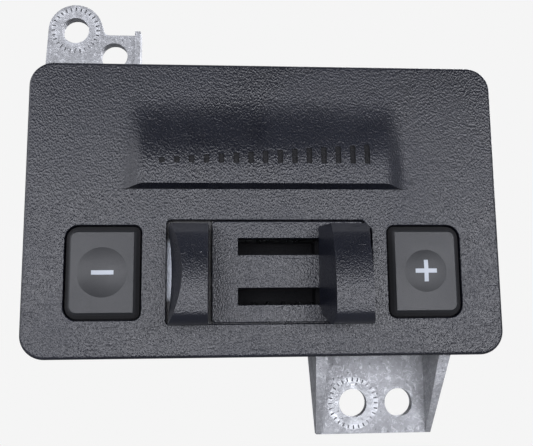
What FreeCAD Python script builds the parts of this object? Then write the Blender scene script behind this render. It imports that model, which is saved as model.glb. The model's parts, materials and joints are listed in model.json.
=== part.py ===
"""Dash-mounted trailer brake controller unit.

Millimetres. +X is right, +Z is up and the front of the unit faces -Y. The origin is the
centre of the faceplate on its rear rim, the plane that seats on the dash at y = 0.
"""
import FreeCAD, Part
import math
import os

V = FreeCAD.Vector

# ---------------------------------------------------------------- clearances
SEAM_GAP = 0.3          # between the faceplate and what fills its openings
BUTTON_GAP = 0.4        # round each button cap
LEG_GAP = 0.35          # between the lever's legs and their slots
ROD_FIT = 0.05          # radial, carriage on its guide rods
GUIDE_FIT = 0.08        # radial, button posts in the chassis
PLUNGER_FIT = 0.08      # radial, switch plunger in its switch
MOVE_GAP = 0.4          # between a moving piece and a fixed one beside it
SCREW_FIT = 0.2         # radial, screw shank in the piece it passes through

# ---------------------------------------------------------------- faceplate
FACE_W = 126.0
FACE_H = 78.8
FACE_CORNER_R = 6.4
FACE_EDGE_R = 0.9
FACE_DEPTH = 6.0        # front plane to rear rim
FACE_WALL = 2.5

# ---------------------------------------------------------------- hood above the controls
HOOD_PROUD = 3.0
HOOD_ROOT_Z = 4.7
HOOD_LIP_RISE = 1.1
HOOD_HEIGHT = 26.5
HOOD_BASE_HALF = 38.0
HOOD_LIP_HALF = 33.0
HOOD_TOP_HALF = 34.0

# ---------------------------------------------------------------- engraved level scale
SCALE_BARS = 15
SCALE_SPAN = 56.0
SCALE_BAR_W = 1.5
SCALE_LOW_H = 1.4
SCALE_HIGH_H = 5.4
SCALE_Z = 11.2          # foot of the bars
SCALE_DEPTH = 0.5

# ---------------------------------------------------------------- buttons
BUTTON_W = 19.8         # opening
BUTTON_H = 24.6
BUTTON_X = 42.35
BUTTON_Z = -17.3
BUTTON_OUTER_R = 3.6
BUTTON_INNER_R = 2.0
BUTTON_PROUD = 1.0
BUTTON_BEVEL = 1.5
BUTTON_WALL = 1.6
BUTTON_FLANGE = 0.7     # how far the retaining flange reaches under the faceplate
BUTTON_FLANGE_T = 1.2
BUTTON_TRAVEL = 1.0
POST_R = 1.5
POST_PITCH = 15.0
DISH_R = 6.5
DISH_DEPTH = 0.9
DOME_R = 5.6
DOME_HEIGHT = 0.6
SIGN_L = 5.7
SIGN_T = 1.1
SIGN_DEPTH = 4.5

# ---------------------------------------------------------------- slider
PANEL_LEFT = -14.2      # left edge of the slotted panel
PANEL_RIGHT = 28.1
PANEL_TOP = -3.9
PANEL_BOTTOM = -30.5
PANEL_CORNER_R = 1.0
PANEL_CHAMFER = 2.4     # right-hand corners
FLANGE_REACH = 1.4      # how far the panel reaches under the faceplate
FLANGE_T = 1.5
SLOT_H = 4.4
SLOT_PITCH = 13.1
SLIDER_Z = -17.2
STROKE = 22.0
STROKE_SPARE = 1.1
LEG_W = 10.5
LEVER_BASE_W = 14.2
LEVER_FACE_W = 9.4
LEVER_RIGHT = 28.1
GRIP_PROUD = 13.6
GRIP_TOP = -5.4
GRIP_BOTTOM = -31.0
GRIP_HEEL = -26.6       # where the underside of a grip meets the panel
REST_W = 10.7
REST_FACE_SET_IN = 2.9
REST_GAP = 0.8          # black gap between the rest and the panel
REST_BOW = 2.1          # hollow of the rest's outer side
REST_PLATE_T = 1.4

# ---------------------------------------------------------------- carriage and rods
ROD_R = 1.5
ROD_PITCH = 20.0
ROD_Y = 3.4
CARRIAGE_L = 13.0
CARRIAGE_T = 6.8
FRAME_WALL = 1.8
FRAME_FLOOR = 1.7
END_WALL = 2.6
SPRING_WIRE = 0.5
SPRING_MEAN_R = 2.4
MAGNET = (5.0, 1.6, 8.0)

# ---------------------------------------------------------------- electronics
BOARD_T = 1.6
CONTROL_BOARD_Y = 11.0
POWER_BOARD_Y = 30.0
BOARD_MARGIN = 3.0      # housing's side walls to the boards' edges
BOARD_END_MARGIN = 1.0  # housing's top and bottom walls to the boards' edges
BOARD_SCREW_SET_IN = (10.0, 4.0)
POWER_SCREW_SET_IN = 5.0
POWER_SCREW_R = 1.3
POWER_POST_R = 3.2
SMALL_SCREW_R = 1.0
CHASSIS_POST_R = 2.6
SENSOR = (4.1, 1.1, 3.0)
MICROCONTROLLER = (10.0, 1.4, 10.0)
MICROCONTROLLER_X = 4.0
MICROCONTROLLER_Z = 12.0
LINK_X = -20.0          # pin header between the boards
LINK_W = 24.0
LINK_H = 5.0
LINK_FRONT_T = 2.5
LINK_BACK_T = 8.5
LINK_PINS = 8
LINK_PITCH = 2.54
SWITCH_SIDE = 6.2
SWITCH_H = 3.5
PLUNGER_R = 1.65
LIGHT_GUIDE_R = 2.0
LED = (2.0, 0.8, 1.3)
CHASSIS_T = 2.0
CHASSIS_Y = -0.4
CAPACITOR_R = 5.0
CAPACITOR_L = 15.0
CAPACITOR_XS = (10.0, 24.0)
CAPACITOR_Z = -10.0
SHUNT = (12.0, 4.0, 4.0)
SHUNT_T = 1.0
SHUNT_X = 36.0
SHUNT_Z = 8.0
TRANSISTOR = (10.2, 4.5, 9.2)
TRANSISTOR_X = 24.0
TRANSISTOR_COUNT = 3
TRANSISTOR_PITCH = 13.5
THERMAL_PAD_T = 0.5

# ---------------------------------------------------------------- rear housing
HOUSING_SIDE_GAP = 12.0     # faceplate's side to the housing's side
HOUSING_END_GAP = 4.0       # faceplate's top or bottom to the housing's
HOUSING_FRONT_Y = 3.6
HOUSING_DEPTH = 40.0
HOUSING_WALL = 2.4
HOUSING_CORNER_R = 3.0
FIN_COUNT = 8
FIN_T = 1.8
FIN_HEIGHT = 7.5
FIN_FIRST_X = 3.0
FIN_SET_IN = 4.0            # fin ends to the housing's top and bottom
LUG_T = 3.0
LUG_R = 3.7
LUG_Z = 20.0
LUG_OUT = 5.2               # screw centre to the housing's side
CASE_SCREW_R = 1.5
CHASSIS_SCREW_R = 1.0
CHASSIS_SCREW_X = 28.0
CHASSIS_SCREW_LOW_X = 18.0
CHASSIS_SCREW_DROP = 3.7     # below the slider opening
CHASSIS_SCREW_TOP_SET_IN = 15.0
MOUNT_PLATE_Y = 20.0        # front of the ear and the foot
MOUNT_PLATE_T = 3.0
MOUNT_HOLE_R = 4.1
EAR_HOLE = (-56.9, 59.9)
EAR_R = 8.3
EAR_SECOND_HOLE = (-44.9, 51.8)
EAR_SHOULDER_Z = 58.5
EAR_RIGHT = -36.75
EAR_LIP_W = 1.7
EAR_LIP_RISE = 0.8
EAR_LIP_OUT = 1.5
EAR_FILLET_R = 2.2          # hollow corner between the bolt boss and the shoulder
FOOT_LEFT = 13.8
FOOT_RIGHT = 52.0
FOOT_TAPER = 2.2
FOOT_BOTTOM = -63.0
FOOT_RIB_T = 3.6
FOOT_HOLE = (27.0, -54.3)
FOOT_SECOND_HOLE = (40.6, -54.3)

# ---------------------------------------------------------------- connector
PLUG_X = -26.0
PLUG_W = 30.0
PLUG_H = 17.0
PLUG_WALL = 1.6
PLUG_DEPTH = 12.0           # socket
PLUG_OUT = 16.0             # how far the socket stands behind the housing
PIN_SIDE = 0.8
PIN_COLUMNS = 6
PIN_PITCH = 3.6
PIN_OUT = 6.5
GASKET_T = 1.0
GASKET_RIM = 2.2

# ---------------------------------------------------------------- places worked out from the sizes
FRONT_Y = -FACE_DEPTH
INNER_Y = FRONT_Y + FACE_WALL
UNDER_Y = INNER_Y + 0.2                 # front of whatever is held against the inside of the face
FLANGE_BACK_Y = UNDER_Y + FLANGE_T
SLOT_TOP_Z = SLIDER_Z + SLOT_PITCH / 2
SLOT_LOW_Z = SLIDER_Z - SLOT_PITCH / 2
LEVER_LEFT = LEVER_RIGHT - LEVER_BASE_W
LEG_LEFT = LEVER_LEFT + (LEVER_BASE_W - LEG_W) / 2
LEG_RIGHT = LEG_LEFT + LEG_W
SLOT_LEFT = LEG_LEFT - STROKE - STROKE_SPARE
SLOT_RIGHT = LEG_RIGHT + STROKE_SPARE
REST_RIGHT = PANEL_LEFT - REST_GAP
REST_LEFT = REST_RIGHT - REST_W
OPENING_LEFT = REST_LEFT - SEAM_GAP
OPENING_RIGHT = PANEL_RIGHT + SEAM_GAP
OPENING_TOP = PANEL_TOP + SEAM_GAP
OPENING_BOTTOM = PANEL_BOTTOM - SEAM_GAP
FRAME_LEFT = OPENING_LEFT - FLANGE_REACH
FRAME_RIGHT = OPENING_RIGHT + FLANGE_REACH
FRAME_TOP = OPENING_TOP + FLANGE_REACH
FRAME_BOTTOM = OPENING_BOTTOM - FLANGE_REACH
FRAME_BACK_Y = CARRIAGE_T + 2 * MOVE_GAP + FRAME_FLOOR
WEB_RIGHT = PANEL_LEFT + END_WALL
CARRIAGE_RIGHT = FRAME_RIGHT - END_WALL - MOVE_GAP
CARRIAGE_LEFT = CARRIAGE_RIGHT - CARRIAGE_L
ROD_TOP_Z = SLIDER_Z + ROD_PITCH / 2
ROD_LOW_Z = SLIDER_Z - ROD_PITCH / 2
HOUSING_HALF_W = FACE_W / 2 - HOUSING_SIDE_GAP
HOUSING_HALF_H = FACE_H / 2 - HOUSING_END_GAP
HOUSING_BACK_Y = HOUSING_FRONT_Y + HOUSING_DEPTH
BACK_WALL_Y = HOUSING_BACK_Y - HOUSING_WALL
LUG_X = HOUSING_HALF_W + LUG_OUT
BOARD_HALF_W = HOUSING_HALF_W - HOUSING_WALL - BOARD_MARGIN
BOARD_HALF_H = HOUSING_HALF_H - HOUSING_WALL - BOARD_END_MARGIN
BOARD_SCREW_X = BOARD_HALF_W - BOARD_SCREW_SET_IN[0]
BOARD_SCREW_Z = BOARD_HALF_H - BOARD_SCREW_SET_IN[1]
POWER_SCREW_X = BOARD_HALF_W - POWER_SCREW_SET_IN
POWER_SCREW_Z = BOARD_HALF_H - POWER_SCREW_SET_IN
CHASSIS_BACK_Y = CHASSIS_Y + CHASSIS_T
CONTROL_BACK_Y = CONTROL_BOARD_Y + BOARD_T
POWER_BACK_Y = POWER_BOARD_Y + BOARD_T
TRANSISTOR_BACK_Y = POWER_BACK_Y + TRANSISTOR[1]
PLUG_BACK_Y = HOUSING_BACK_Y + PLUG_OUT
CHASSIS_SCREW_TOP_Z = HOUSING_HALF_H - CHASSIS_SCREW_TOP_SET_IN
CHASSIS_SCREW_LOW_Z = OPENING_BOTTOM - CHASSIS_SCREW_DROP
CHASSIS_SCREW_SPOTS = [(s * CHASSIS_SCREW_X, CHASSIS_SCREW_TOP_Z) for s in (-1, 1)]
CHASSIS_SCREW_SPOTS += [(s * CHASSIS_SCREW_LOW_X, CHASSIS_SCREW_LOW_Z) for s in (-1, 1)]


# ---------------------------------------------------------------- shape helpers
def box(x0, x1, y0, y1, z0, z1):
    return Part.makeBox(x1 - x0, y1 - y0, z1 - z0, V(x0, y0, z0))


def centred_box(size, x, y, z):
    """A box with its centre at x and z, and its front face at y."""
    return box(x - size[0] / 2, x + size[0] / 2, y, y + size[1], z - size[2] / 2, z + size[2] / 2)


def rod_y(radius, x, z, y0, y1):
    return Part.makeCylinder(radius, y1 - y0, V(x, y0, z), V(0, 1, 0))


def rod_x(radius, y, z, x0, x1):
    return Part.makeCylinder(radius, x1 - x0, V(x0, y, z), V(1, 0, 0))


def prism(points, offset):
    """The closed polygon through the points, extruded by the offset."""
    return Part.Face(Part.makePolygon(points + [points[0]])).extrude(offset)


def rounded_face(x0, x1, z0, z1, y, radii):
    """A rectangle in the X-Z plane. The radii go low left, low right, top right, top left."""
    corners = [(x0, z0, 180), (x1, z0, 270), (x1, z1, 0), (x0, z1, 90)]
    inward = [(1, 1), (-1, 1), (-1, -1), (1, -1)]
    ends = []
    edges = []
    for (cx, cz, start), (sx, sz), radius in zip(corners, inward, radii):
        centre = V(cx + sx * radius, y, cz + sz * radius)
        arc = [
            centre + V(math.cos(math.radians(a)), 0, math.sin(math.radians(a))) * radius
            for a in (start, start + 45, start + 90)
        ]
        edges.append(Part.Arc(*arc).toShape())
        ends.append((arc[0], arc[2]))
    outline = []
    for i, edge in enumerate(edges):
        outline.append(edge)
        outline.append(Part.makeLine(ends[i][1], ends[(i + 1) % 4][0]))
    return Part.Face(Part.Wire(outline))


def slab(x0, x1, z0, z1, y0, y1, radii):
    if not isinstance(radii, tuple):
        radii = (radii,) * 4
    return rounded_face(x0, x1, z0, z1, y0, radii).extrude(V(0, y1 - y0, 0))


def joined(first, others):
    return first.fuse(list(others)).removeSplitter()


def edges_at_y(shape, y):
    """The edges that lie wholly in the plane of that y."""
    return [e for e in shape.Edges if abs(e.BoundBox.YMin - y) < 1e-5 and abs(e.BoundBox.YMax - y) < 1e-5]


def screw(x, z, tip_y, seat_y, radius, facing):
    """A pan-head screw along Y. Facing is +1 where the head is behind the seat, -1 where it is in front."""
    low, high = sorted((tip_y, seat_y))
    head = rod_y(radius * 1.9, x, z, *sorted((seat_y, seat_y + facing * radius * 1.3)))
    return rod_y(radius, x, z, low, high).fuse(head).removeSplitter()


# ---------------------------------------------------------------- faceplate
def hood():
    """The wedge that swells out of the faceplate and ends in a lip above the controls."""
    lip_y = FRONT_Y - HOOD_PROUD
    lip_z = HOOD_ROOT_Z + HOOD_LIP_RISE
    top_z = HOOD_ROOT_Z + HOOD_HEIGHT
    top = [V(-HOOD_TOP_HALF, FRONT_Y, top_z), V(HOOD_TOP_HALF, FRONT_Y, top_z)]
    root = [V(-HOOD_BASE_HALF, FRONT_Y, HOOD_ROOT_Z), V(HOOD_BASE_HALF, FRONT_Y, HOOD_ROOT_Z)]
    lip = [V(-HOOD_LIP_HALF, lip_y, lip_z), V(HOOD_LIP_HALF, lip_y, lip_z)]
    outlines = [
        [top[0], top[1], root[1], root[0]],
        [top[0], lip[0], lip[1], top[1]],
        [root[0], root[1], lip[1], lip[0]],
        [top[0], root[0], lip[0]],
        [top[1], lip[1], root[1]],
    ]
    faces = [Part.Face(Part.makePolygon(o + [o[0]])) for o in outlines]
    return Part.makeSolid(Part.makeShell(faces))


def scale_cuts():
    """Tools for the engraved row of bars, square to the hood's slope."""
    rise = HOOD_HEIGHT - HOOD_LIP_RISE
    tilt = math.degrees(math.atan2(HOOD_PROUD, rise))
    top_z = HOOD_ROOT_Z + HOOD_HEIGHT
    foot = V(0, FRONT_Y - HOOD_PROUD * (top_z - SCALE_Z) / rise, SCALE_Z)
    pitch = (SCALE_SPAN - SCALE_BAR_W) / (SCALE_BARS - 1)
    tools = []
    for i in range(SCALE_BARS):
        height = SCALE_LOW_H + (SCALE_HIGH_H - SCALE_LOW_H) * i / (SCALE_BARS - 1)
        left = -SCALE_SPAN / 2 + i * pitch
        bar = Part.makeBox(SCALE_BAR_W, 2 * SCALE_DEPTH, height, V(left, foot.y - SCALE_DEPTH, foot.z))
        bar.rotate(foot, V(1, 0, 0), -tilt)
        tools.append(bar)
    return tools


def button_opening(side):
    """The hole in the faceplate for one button; side is -1 left, +1 right."""
    x = side * BUTTON_X
    outer, inner = BUTTON_OUTER_R, BUTTON_INNER_R
    radii = (inner, outer, outer, inner) if side > 0 else (outer, inner, inner, outer)
    half_w, half_h = BUTTON_W / 2, BUTTON_H / 2
    return slab(
        x - half_w, x + half_w, BUTTON_Z - half_h, BUTTON_Z + half_h, FRONT_Y - 1, INNER_Y + 1, radii
    )


def panel_outline(x0, x1, z0, z1, y0, y1, chamfer):
    """The slotted panel's plan: small corners on the left, cut corners on the right."""
    plate = slab(x0, x1, z0, z1, y0, y1, PANEL_CORNER_R)
    for z, into in ((z0, 1), (z1, -1)):
        corner = [V(x1 + 1, y0, z - into), V(x1 + 1, y0, z + into * chamfer), V(x1, y0, z + into * chamfer)]
        corner += [V(x1 - chamfer, y0, z), V(x1 - chamfer, y0, z - into)]
        plate = plate.cut(prism(corner, V(0, y1 - y0, 0)))
    return plate


def boss_spots():
    return [(sx * LUG_X, sz * LUG_Z) for sx in (-1, 1) for sz in (-1, 1)]


def front_bezel():
    half_w, half_h = FACE_W / 2, FACE_H / 2
    shell = slab(-half_w, half_w, -half_h, half_h, FRONT_Y, 0, FACE_CORNER_R)
    shell = shell.makeFillet(FACE_EDGE_R, edges_at_y(shell, FRONT_Y))
    inside_r = FACE_CORNER_R - FACE_WALL
    hollow = slab(
        -half_w + FACE_WALL, half_w - FACE_WALL, -half_h + FACE_WALL, half_h - FACE_WALL, INNER_Y, 1, inside_r
    )
    shell = joined(shell.cut(hollow), [hood()])
    bosses = [rod_y(LUG_R - 0.8, x, z, INNER_Y, HOUSING_FRONT_Y) for x, z in boss_spots()]
    bosses += [rod_y(2 * CHASSIS_SCREW_R, x, z, INNER_Y, CHASSIS_Y) for x, z in CHASSIS_SCREW_SPOTS]
    shell = joined(shell, bosses)
    cuts = scale_cuts()
    cuts += [button_opening(side) for side in (-1, 1)]
    cuts.append(
        panel_outline(
            OPENING_LEFT, OPENING_RIGHT, OPENING_BOTTOM, OPENING_TOP, FRONT_Y - 1, INNER_Y + 1, PANEL_CHAMFER
        )
    )
    cuts += [rod_y(CASE_SCREW_R, x, z, INNER_Y + 0.6, HOUSING_FRONT_Y + 1) for x, z in boss_spots()]
    cuts += [rod_y(CHASSIS_SCREW_R, x, z, INNER_Y + 0.4, CHASSIS_Y + 1) for x, z in CHASSIS_SCREW_SPOTS]
    return shell.cut(cuts)


# ---------------------------------------------------------------- buttons
def button_blank(side):
    """A cap before its legend is let in: bevelled, hollow, flanged, with two posts behind."""
    x = side * BUTTON_X
    face_y = FRONT_Y - BUTTON_PROUD
    back_y = UNDER_Y + BUTTON_FLANGE_T
    half_w, half_h = BUTTON_W / 2 - BUTTON_GAP, BUTTON_H / 2 - BUTTON_GAP
    outer, inner = BUTTON_OUTER_R - BUTTON_GAP, BUTTON_INNER_R - BUTTON_GAP
    radii = (inner, outer, outer, inner) if side > 0 else (outer, inner, inner, outer)
    cap = slab(x - half_w, x + half_w, BUTTON_Z - half_h, BUTTON_Z + half_h, face_y, back_y, radii)
    cap = cap.makeChamfer(BUTTON_BEVEL, edges_at_y(cap, face_y))
    reach = BUTTON_GAP + BUTTON_FLANGE
    flange = slab(
        x - half_w - reach,
        x + half_w + reach,
        BUTTON_Z - half_h - reach,
        BUTTON_Z + half_h + reach,
        UNDER_Y,
        back_y,
        BUTTON_INNER_R,
    )
    cap = joined(cap, [flange])
    wall = BUTTON_WALL + BUTTON_BEVEL / 2
    hollow = slab(
        x - half_w + wall,
        x + half_w - wall,
        BUTTON_Z - half_h + wall,
        BUTTON_Z + half_h - wall,
        face_y + DISH_DEPTH + BUTTON_WALL,
        back_y + 1,
        1.0,
    )
    cap = cap.cut(hollow)
    post_front = face_y + DISH_DEPTH + BUTTON_WALL
    light_wall = rod_y(SIGN_L / 2 + 0.9, x, BUTTON_Z, post_front, back_y)
    guide = rod_y(POST_R, x, BUTTON_Z + POST_PITCH / 2, post_front, CHASSIS_BACK_Y + 2.0)
    pusher = rod_y(POST_R, x, BUTTON_Z - POST_PITCH / 2, post_front, plunger_front_y())
    return joined(cap, [light_wall, guide, pusher])


def plunger_front_y():
    return CONTROL_BOARD_Y - SWITCH_H - BUTTON_TRAVEL - 0.9


def minus_shape():
    x = -BUTTON_X
    radius = (DISH_R**2 + DISH_DEPTH**2) / (2 * DISH_DEPTH)
    face_y = FRONT_Y - BUTTON_PROUD
    return button_blank(-1).cut(Part.makeSphere(radius, V(x, face_y + DISH_DEPTH - radius, BUTTON_Z)))


def plus_shape():
    x = BUTTON_X
    radius = (DOME_R**2 + DOME_HEIGHT**2) / (2 * DOME_HEIGHT)
    face_y = FRONT_Y - BUTTON_PROUD
    ball = Part.makeSphere(radius, V(x, face_y - DOME_HEIGHT + radius, BUTTON_Z))
    dome = ball.common(rod_y(DOME_R + 1, x, BUTTON_Z, face_y - DOME_HEIGHT - 1, face_y + 0.01))
    return joined(button_blank(1), [dome])


def sign_bars(side):
    """The legend's bars as a tool that passes through the front of a cap."""
    x = side * BUTTON_X
    y0, y1 = FRONT_Y - BUTTON_PROUD - 2, FRONT_Y - BUTTON_PROUD + SIGN_DEPTH
    half, thin = SIGN_L / 2, SIGN_T / 2
    bar = box(x - half, x + half, y0, y1, BUTTON_Z - thin, BUTTON_Z + thin)
    if side < 0:
        return bar
    return joined(bar, [box(x - thin, x + thin, y0, y1, BUTTON_Z - half, BUTTON_Z + half)])


def minus_button():
    return minus_shape().cut(sign_bars(-1))


def plus_button():
    return plus_shape().cut(sign_bars(1))


def minus_legend():
    return minus_shape().common(sign_bars(-1))


def plus_legend():
    return plus_shape().common(sign_bars(1))


# ---------------------------------------------------------------- slider, seen from the front
def grip_profile(x):
    """The side view of a grip at one x: it swells downwards and tucks back under its nose."""
    top = V(x, FRONT_Y - SEAM_GAP, GRIP_TOP)
    shoulder = V(x, FRONT_Y - 0.50 * GRIP_PROUD, GRIP_TOP)
    brow = V(x, FRONT_Y - 0.64 * GRIP_PROUD, GRIP_TOP - 1.9)
    belly = V(x, FRONT_Y - 0.92 * GRIP_PROUD, GRIP_TOP - 11.5)
    nose = V(x, FRONT_Y - GRIP_PROUD, GRIP_BOTTOM + 4.2)
    chin = V(x, FRONT_Y - 0.90 * GRIP_PROUD, GRIP_BOTTOM + 1.1)
    under = V(x, FRONT_Y - 0.66 * GRIP_PROUD, GRIP_BOTTOM)
    throat = V(x, FRONT_Y - 0.25 * GRIP_PROUD, (GRIP_BOTTOM + GRIP_HEEL) / 2)
    heel = V(x, FRONT_Y - SEAM_GAP, GRIP_HEEL)
    edges = [
        Part.makeLine(top, shoulder),
        Part.makeLine(shoulder, brow),
        Part.Arc(brow, belly, nose).toShape(),
        Part.Arc(nose, chin, under).toShape(),
        Part.Arc(under, throat, heel).toShape(),
        Part.makeLine(heel, top),
    ]
    return Part.Face(Part.Wire(edges))


def drafted(blank, base_left, base_right, face_left, face_right):
    """Keeps what lies between two side planes that lean in towards the front."""
    tip_y = FRONT_Y - GRIP_PROUD - 0.5
    corners = [(base_left, FRONT_Y), (base_right, FRONT_Y), (face_right, tip_y), (face_left, tip_y)]
    wedge = prism([V(x, y, 0) for x, y in corners], V(0, 0, GRIP_BOTTOM * 2))
    return blank.common(wedge)


def slide_lever():
    blank = grip_profile(LEVER_LEFT).extrude(V(LEVER_BASE_W, 0, 0))
    set_in = (LEVER_BASE_W - LEVER_FACE_W) / 2
    grip = drafted(blank, LEVER_LEFT, LEVER_RIGHT, LEVER_LEFT + set_in, LEVER_RIGHT - set_in)
    half = SLOT_H / 2 - LEG_GAP
    legs = [
        box(LEG_LEFT, LEG_RIGHT, FRONT_Y - SEAM_GAP, 0, z - half, z + half) for z in (SLOT_TOP_Z, SLOT_LOW_Z)
    ]
    lever = joined(grip, legs)
    x = (LEG_LEFT + LEG_RIGHT) / 2
    return lever.cut([rod_y(1.0, x, z, -5.0, 1) for z in (SLOT_TOP_Z, SLOT_LOW_Z)])


def thumb_rest():
    blank = grip_profile(REST_LEFT).extrude(V(REST_W, 0, 0))
    rest = drafted(blank, REST_LEFT, REST_RIGHT, REST_LEFT + REST_FACE_SET_IN, REST_RIGHT - 0.2)
    stem = box(REST_LEFT + REST_BOW + 1.6, REST_RIGHT, FRONT_Y - 1.5, UNDER_Y, GRIP_HEEL + 1, GRIP_TOP - 1)
    rest = joined(rest, [stem])
    half_chord = (GRIP_TOP - GRIP_BOTTOM) / 2
    radius = (half_chord**2 + REST_BOW**2) / (2 * REST_BOW)
    lean = V(REST_FACE_SET_IN, -GRIP_PROUD, 0)
    centre = V(REST_LEFT + REST_BOW - radius, FRONT_Y, (GRIP_TOP + GRIP_BOTTOM) / 2)
    scoop = Part.makeCylinder(radius, 3 * GRIP_PROUD, centre - lean, lean)
    rest = rest.cut(scoop)
    x = (REST_LEFT + REST_BOW + REST_RIGHT) / 2
    return rest.cut([rod_y(1.0, x, z, FRONT_Y - 4.0, 0) for z in rest_screw_heights()])


def rest_screw_heights():
    return [SLIDER_Z - 6.0, SLIDER_Z + 6.0]


def slider_panel():
    """The slotted panel, flush with the faceplate, with a flange held behind it."""
    plan = (PANEL_LEFT, PANEL_RIGHT, PANEL_BOTTOM, PANEL_TOP)
    plate = panel_outline(*plan, FRONT_Y, FLANGE_BACK_Y, PANEL_CHAMFER)
    flange = box(PANEL_LEFT, FRAME_RIGHT, UNDER_Y, FLANGE_BACK_Y, FRAME_BOTTOM, FRAME_TOP)
    plate = joined(plate, [flange])
    half = SLOT_H / 2
    return plate.cut(
        [
            box(SLOT_LEFT, SLOT_RIGHT, FRONT_Y - 1, FLANGE_BACK_Y + 1, z - half, z + half)
            for z in (SLOT_TOP_Z, SLOT_LOW_Z)
        ]
    )


def rest_plate():
    """The bright plate behind the thumb rest, seen in the gap beside its hollow side."""
    plate = box(FRAME_LEFT, PANEL_LEFT - 0.1, UNDER_Y, UNDER_Y + REST_PLATE_T, FRAME_BOTTOM, FRAME_TOP)
    x = (REST_LEFT + REST_BOW + REST_RIGHT) / 2
    return plate.cut([rod_y(1.0 + SCREW_FIT, x, z, UNDER_Y - 1, 1) for z in rest_screw_heights()])


def rest_screws():
    x = (REST_LEFT + REST_BOW + REST_RIGHT) / 2
    seat = UNDER_Y + REST_PLATE_T
    return Part.makeCompound([screw(x, z, FRONT_Y - 3.0, seat, 1.0, 1) for z in rest_screw_heights()])


# ---------------------------------------------------------------- slider, behind the panel
def slider_frame():
    """A tray that holds the guide rods; its floor shows black through the slots."""
    tray = box(FRAME_LEFT, FRAME_RIGHT, FLANGE_BACK_Y, FRAME_BACK_Y, FRAME_BOTTOM, FRAME_TOP)
    floor_y = FRAME_BACK_Y - FRAME_FLOOR
    low, high = FRAME_BOTTOM + FRAME_WALL, FRAME_TOP - FRAME_WALL
    bay = box(WEB_RIGHT, FRAME_RIGHT - END_WALL, FLANGE_BACK_Y - 1, floor_y, low, high)
    rest_bay = box(FRAME_LEFT + FRAME_WALL, PANEL_LEFT, FLANGE_BACK_Y - 1, floor_y, low, high)
    tray = tray.cut([bay, rest_bay])
    holes = [rod_x(ROD_R, ROD_Y, z, PANEL_LEFT + 0.8, FRAME_RIGHT - 0.8) for z in (ROD_TOP_Z, ROD_LOW_Z)]
    return tray.cut(holes)


def guide_rod(z):
    return rod_x(ROD_R, ROD_Y, z, PANEL_LEFT + 0.8, FRAME_RIGHT - 0.8)


def upper_guide_rod():
    return guide_rod(ROD_TOP_Z)


def lower_guide_rod():
    return guide_rod(ROD_LOW_Z)


def lever_carriage():
    low = FRAME_BOTTOM + FRAME_WALL + MOVE_GAP
    high = FRAME_TOP - FRAME_WALL - MOVE_GAP
    block = box(CARRIAGE_LEFT, CARRIAGE_RIGHT, 0, CARRIAGE_T, low, high)
    ends = (CARRIAGE_LEFT - 1, CARRIAGE_RIGHT + 1)
    bores = [rod_x(ROD_R + ROD_FIT, ROD_Y, z, *ends) for z in (ROD_TOP_Z, ROD_LOW_Z)]
    x = (LEG_LEFT + LEG_RIGHT) / 2
    for z in (SLOT_TOP_Z, SLOT_LOW_Z):
        bores.append(rod_y(1.0 + SCREW_FIT, x, z, -1, CARRIAGE_T + 1))
        bores.append(rod_y(2.2, x, z, CARRIAGE_T - 1.8, CARRIAGE_T + 1))
    bores.append(magnet_block())
    return block.cut(bores)


def carriage_screws():
    x = (LEG_LEFT + LEG_RIGHT) / 2
    seat = CARRIAGE_T - 1.8
    return Part.makeCompound([screw(x, z, -4.4, seat, 1.0, 1) for z in (SLOT_TOP_Z, SLOT_LOW_Z)])


def magnet_block():
    x = (CARRIAGE_LEFT + CARRIAGE_RIGHT) / 2
    return centred_box(MAGNET, x, CARRIAGE_T - MAGNET[1], SLIDER_Z)


def position_magnet():
    return magnet_block()


def lever_return_spring():
    """The envelope of the coil spring on the lower rod, at its rest length."""
    start = WEB_RIGHT + 0.05
    end = CARRIAGE_LEFT - 0.05
    outer = rod_x(SPRING_MEAN_R + SPRING_WIRE / 2, ROD_Y, ROD_LOW_Z, start, end)
    return outer.cut(rod_x(SPRING_MEAN_R - SPRING_WIRE / 2, ROD_Y, ROD_LOW_Z, start - 1, end + 1))


def stop_bumpers():
    """Rubber blocks that end the carriage's travel, one at each end."""
    low, high = SLIDER_Z - 3.0, SLIDER_Z + 3.0
    left = box(WEB_RIGHT, CARRIAGE_LEFT - STROKE - 0.1, 1.0, 6.0, low, high)
    right = box(CARRIAGE_RIGHT + 0.1, FRAME_RIGHT - END_WALL, 1.0, 6.0, low, high)
    return Part.makeCompound([left, right])


# ---------------------------------------------------------------- chassis, boards and switches
def chassis_posts():
    return [(sx * BOARD_SCREW_X, sz * BOARD_SCREW_Z) for sx in (-1, 1) for sz in (-1, 1)]


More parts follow.
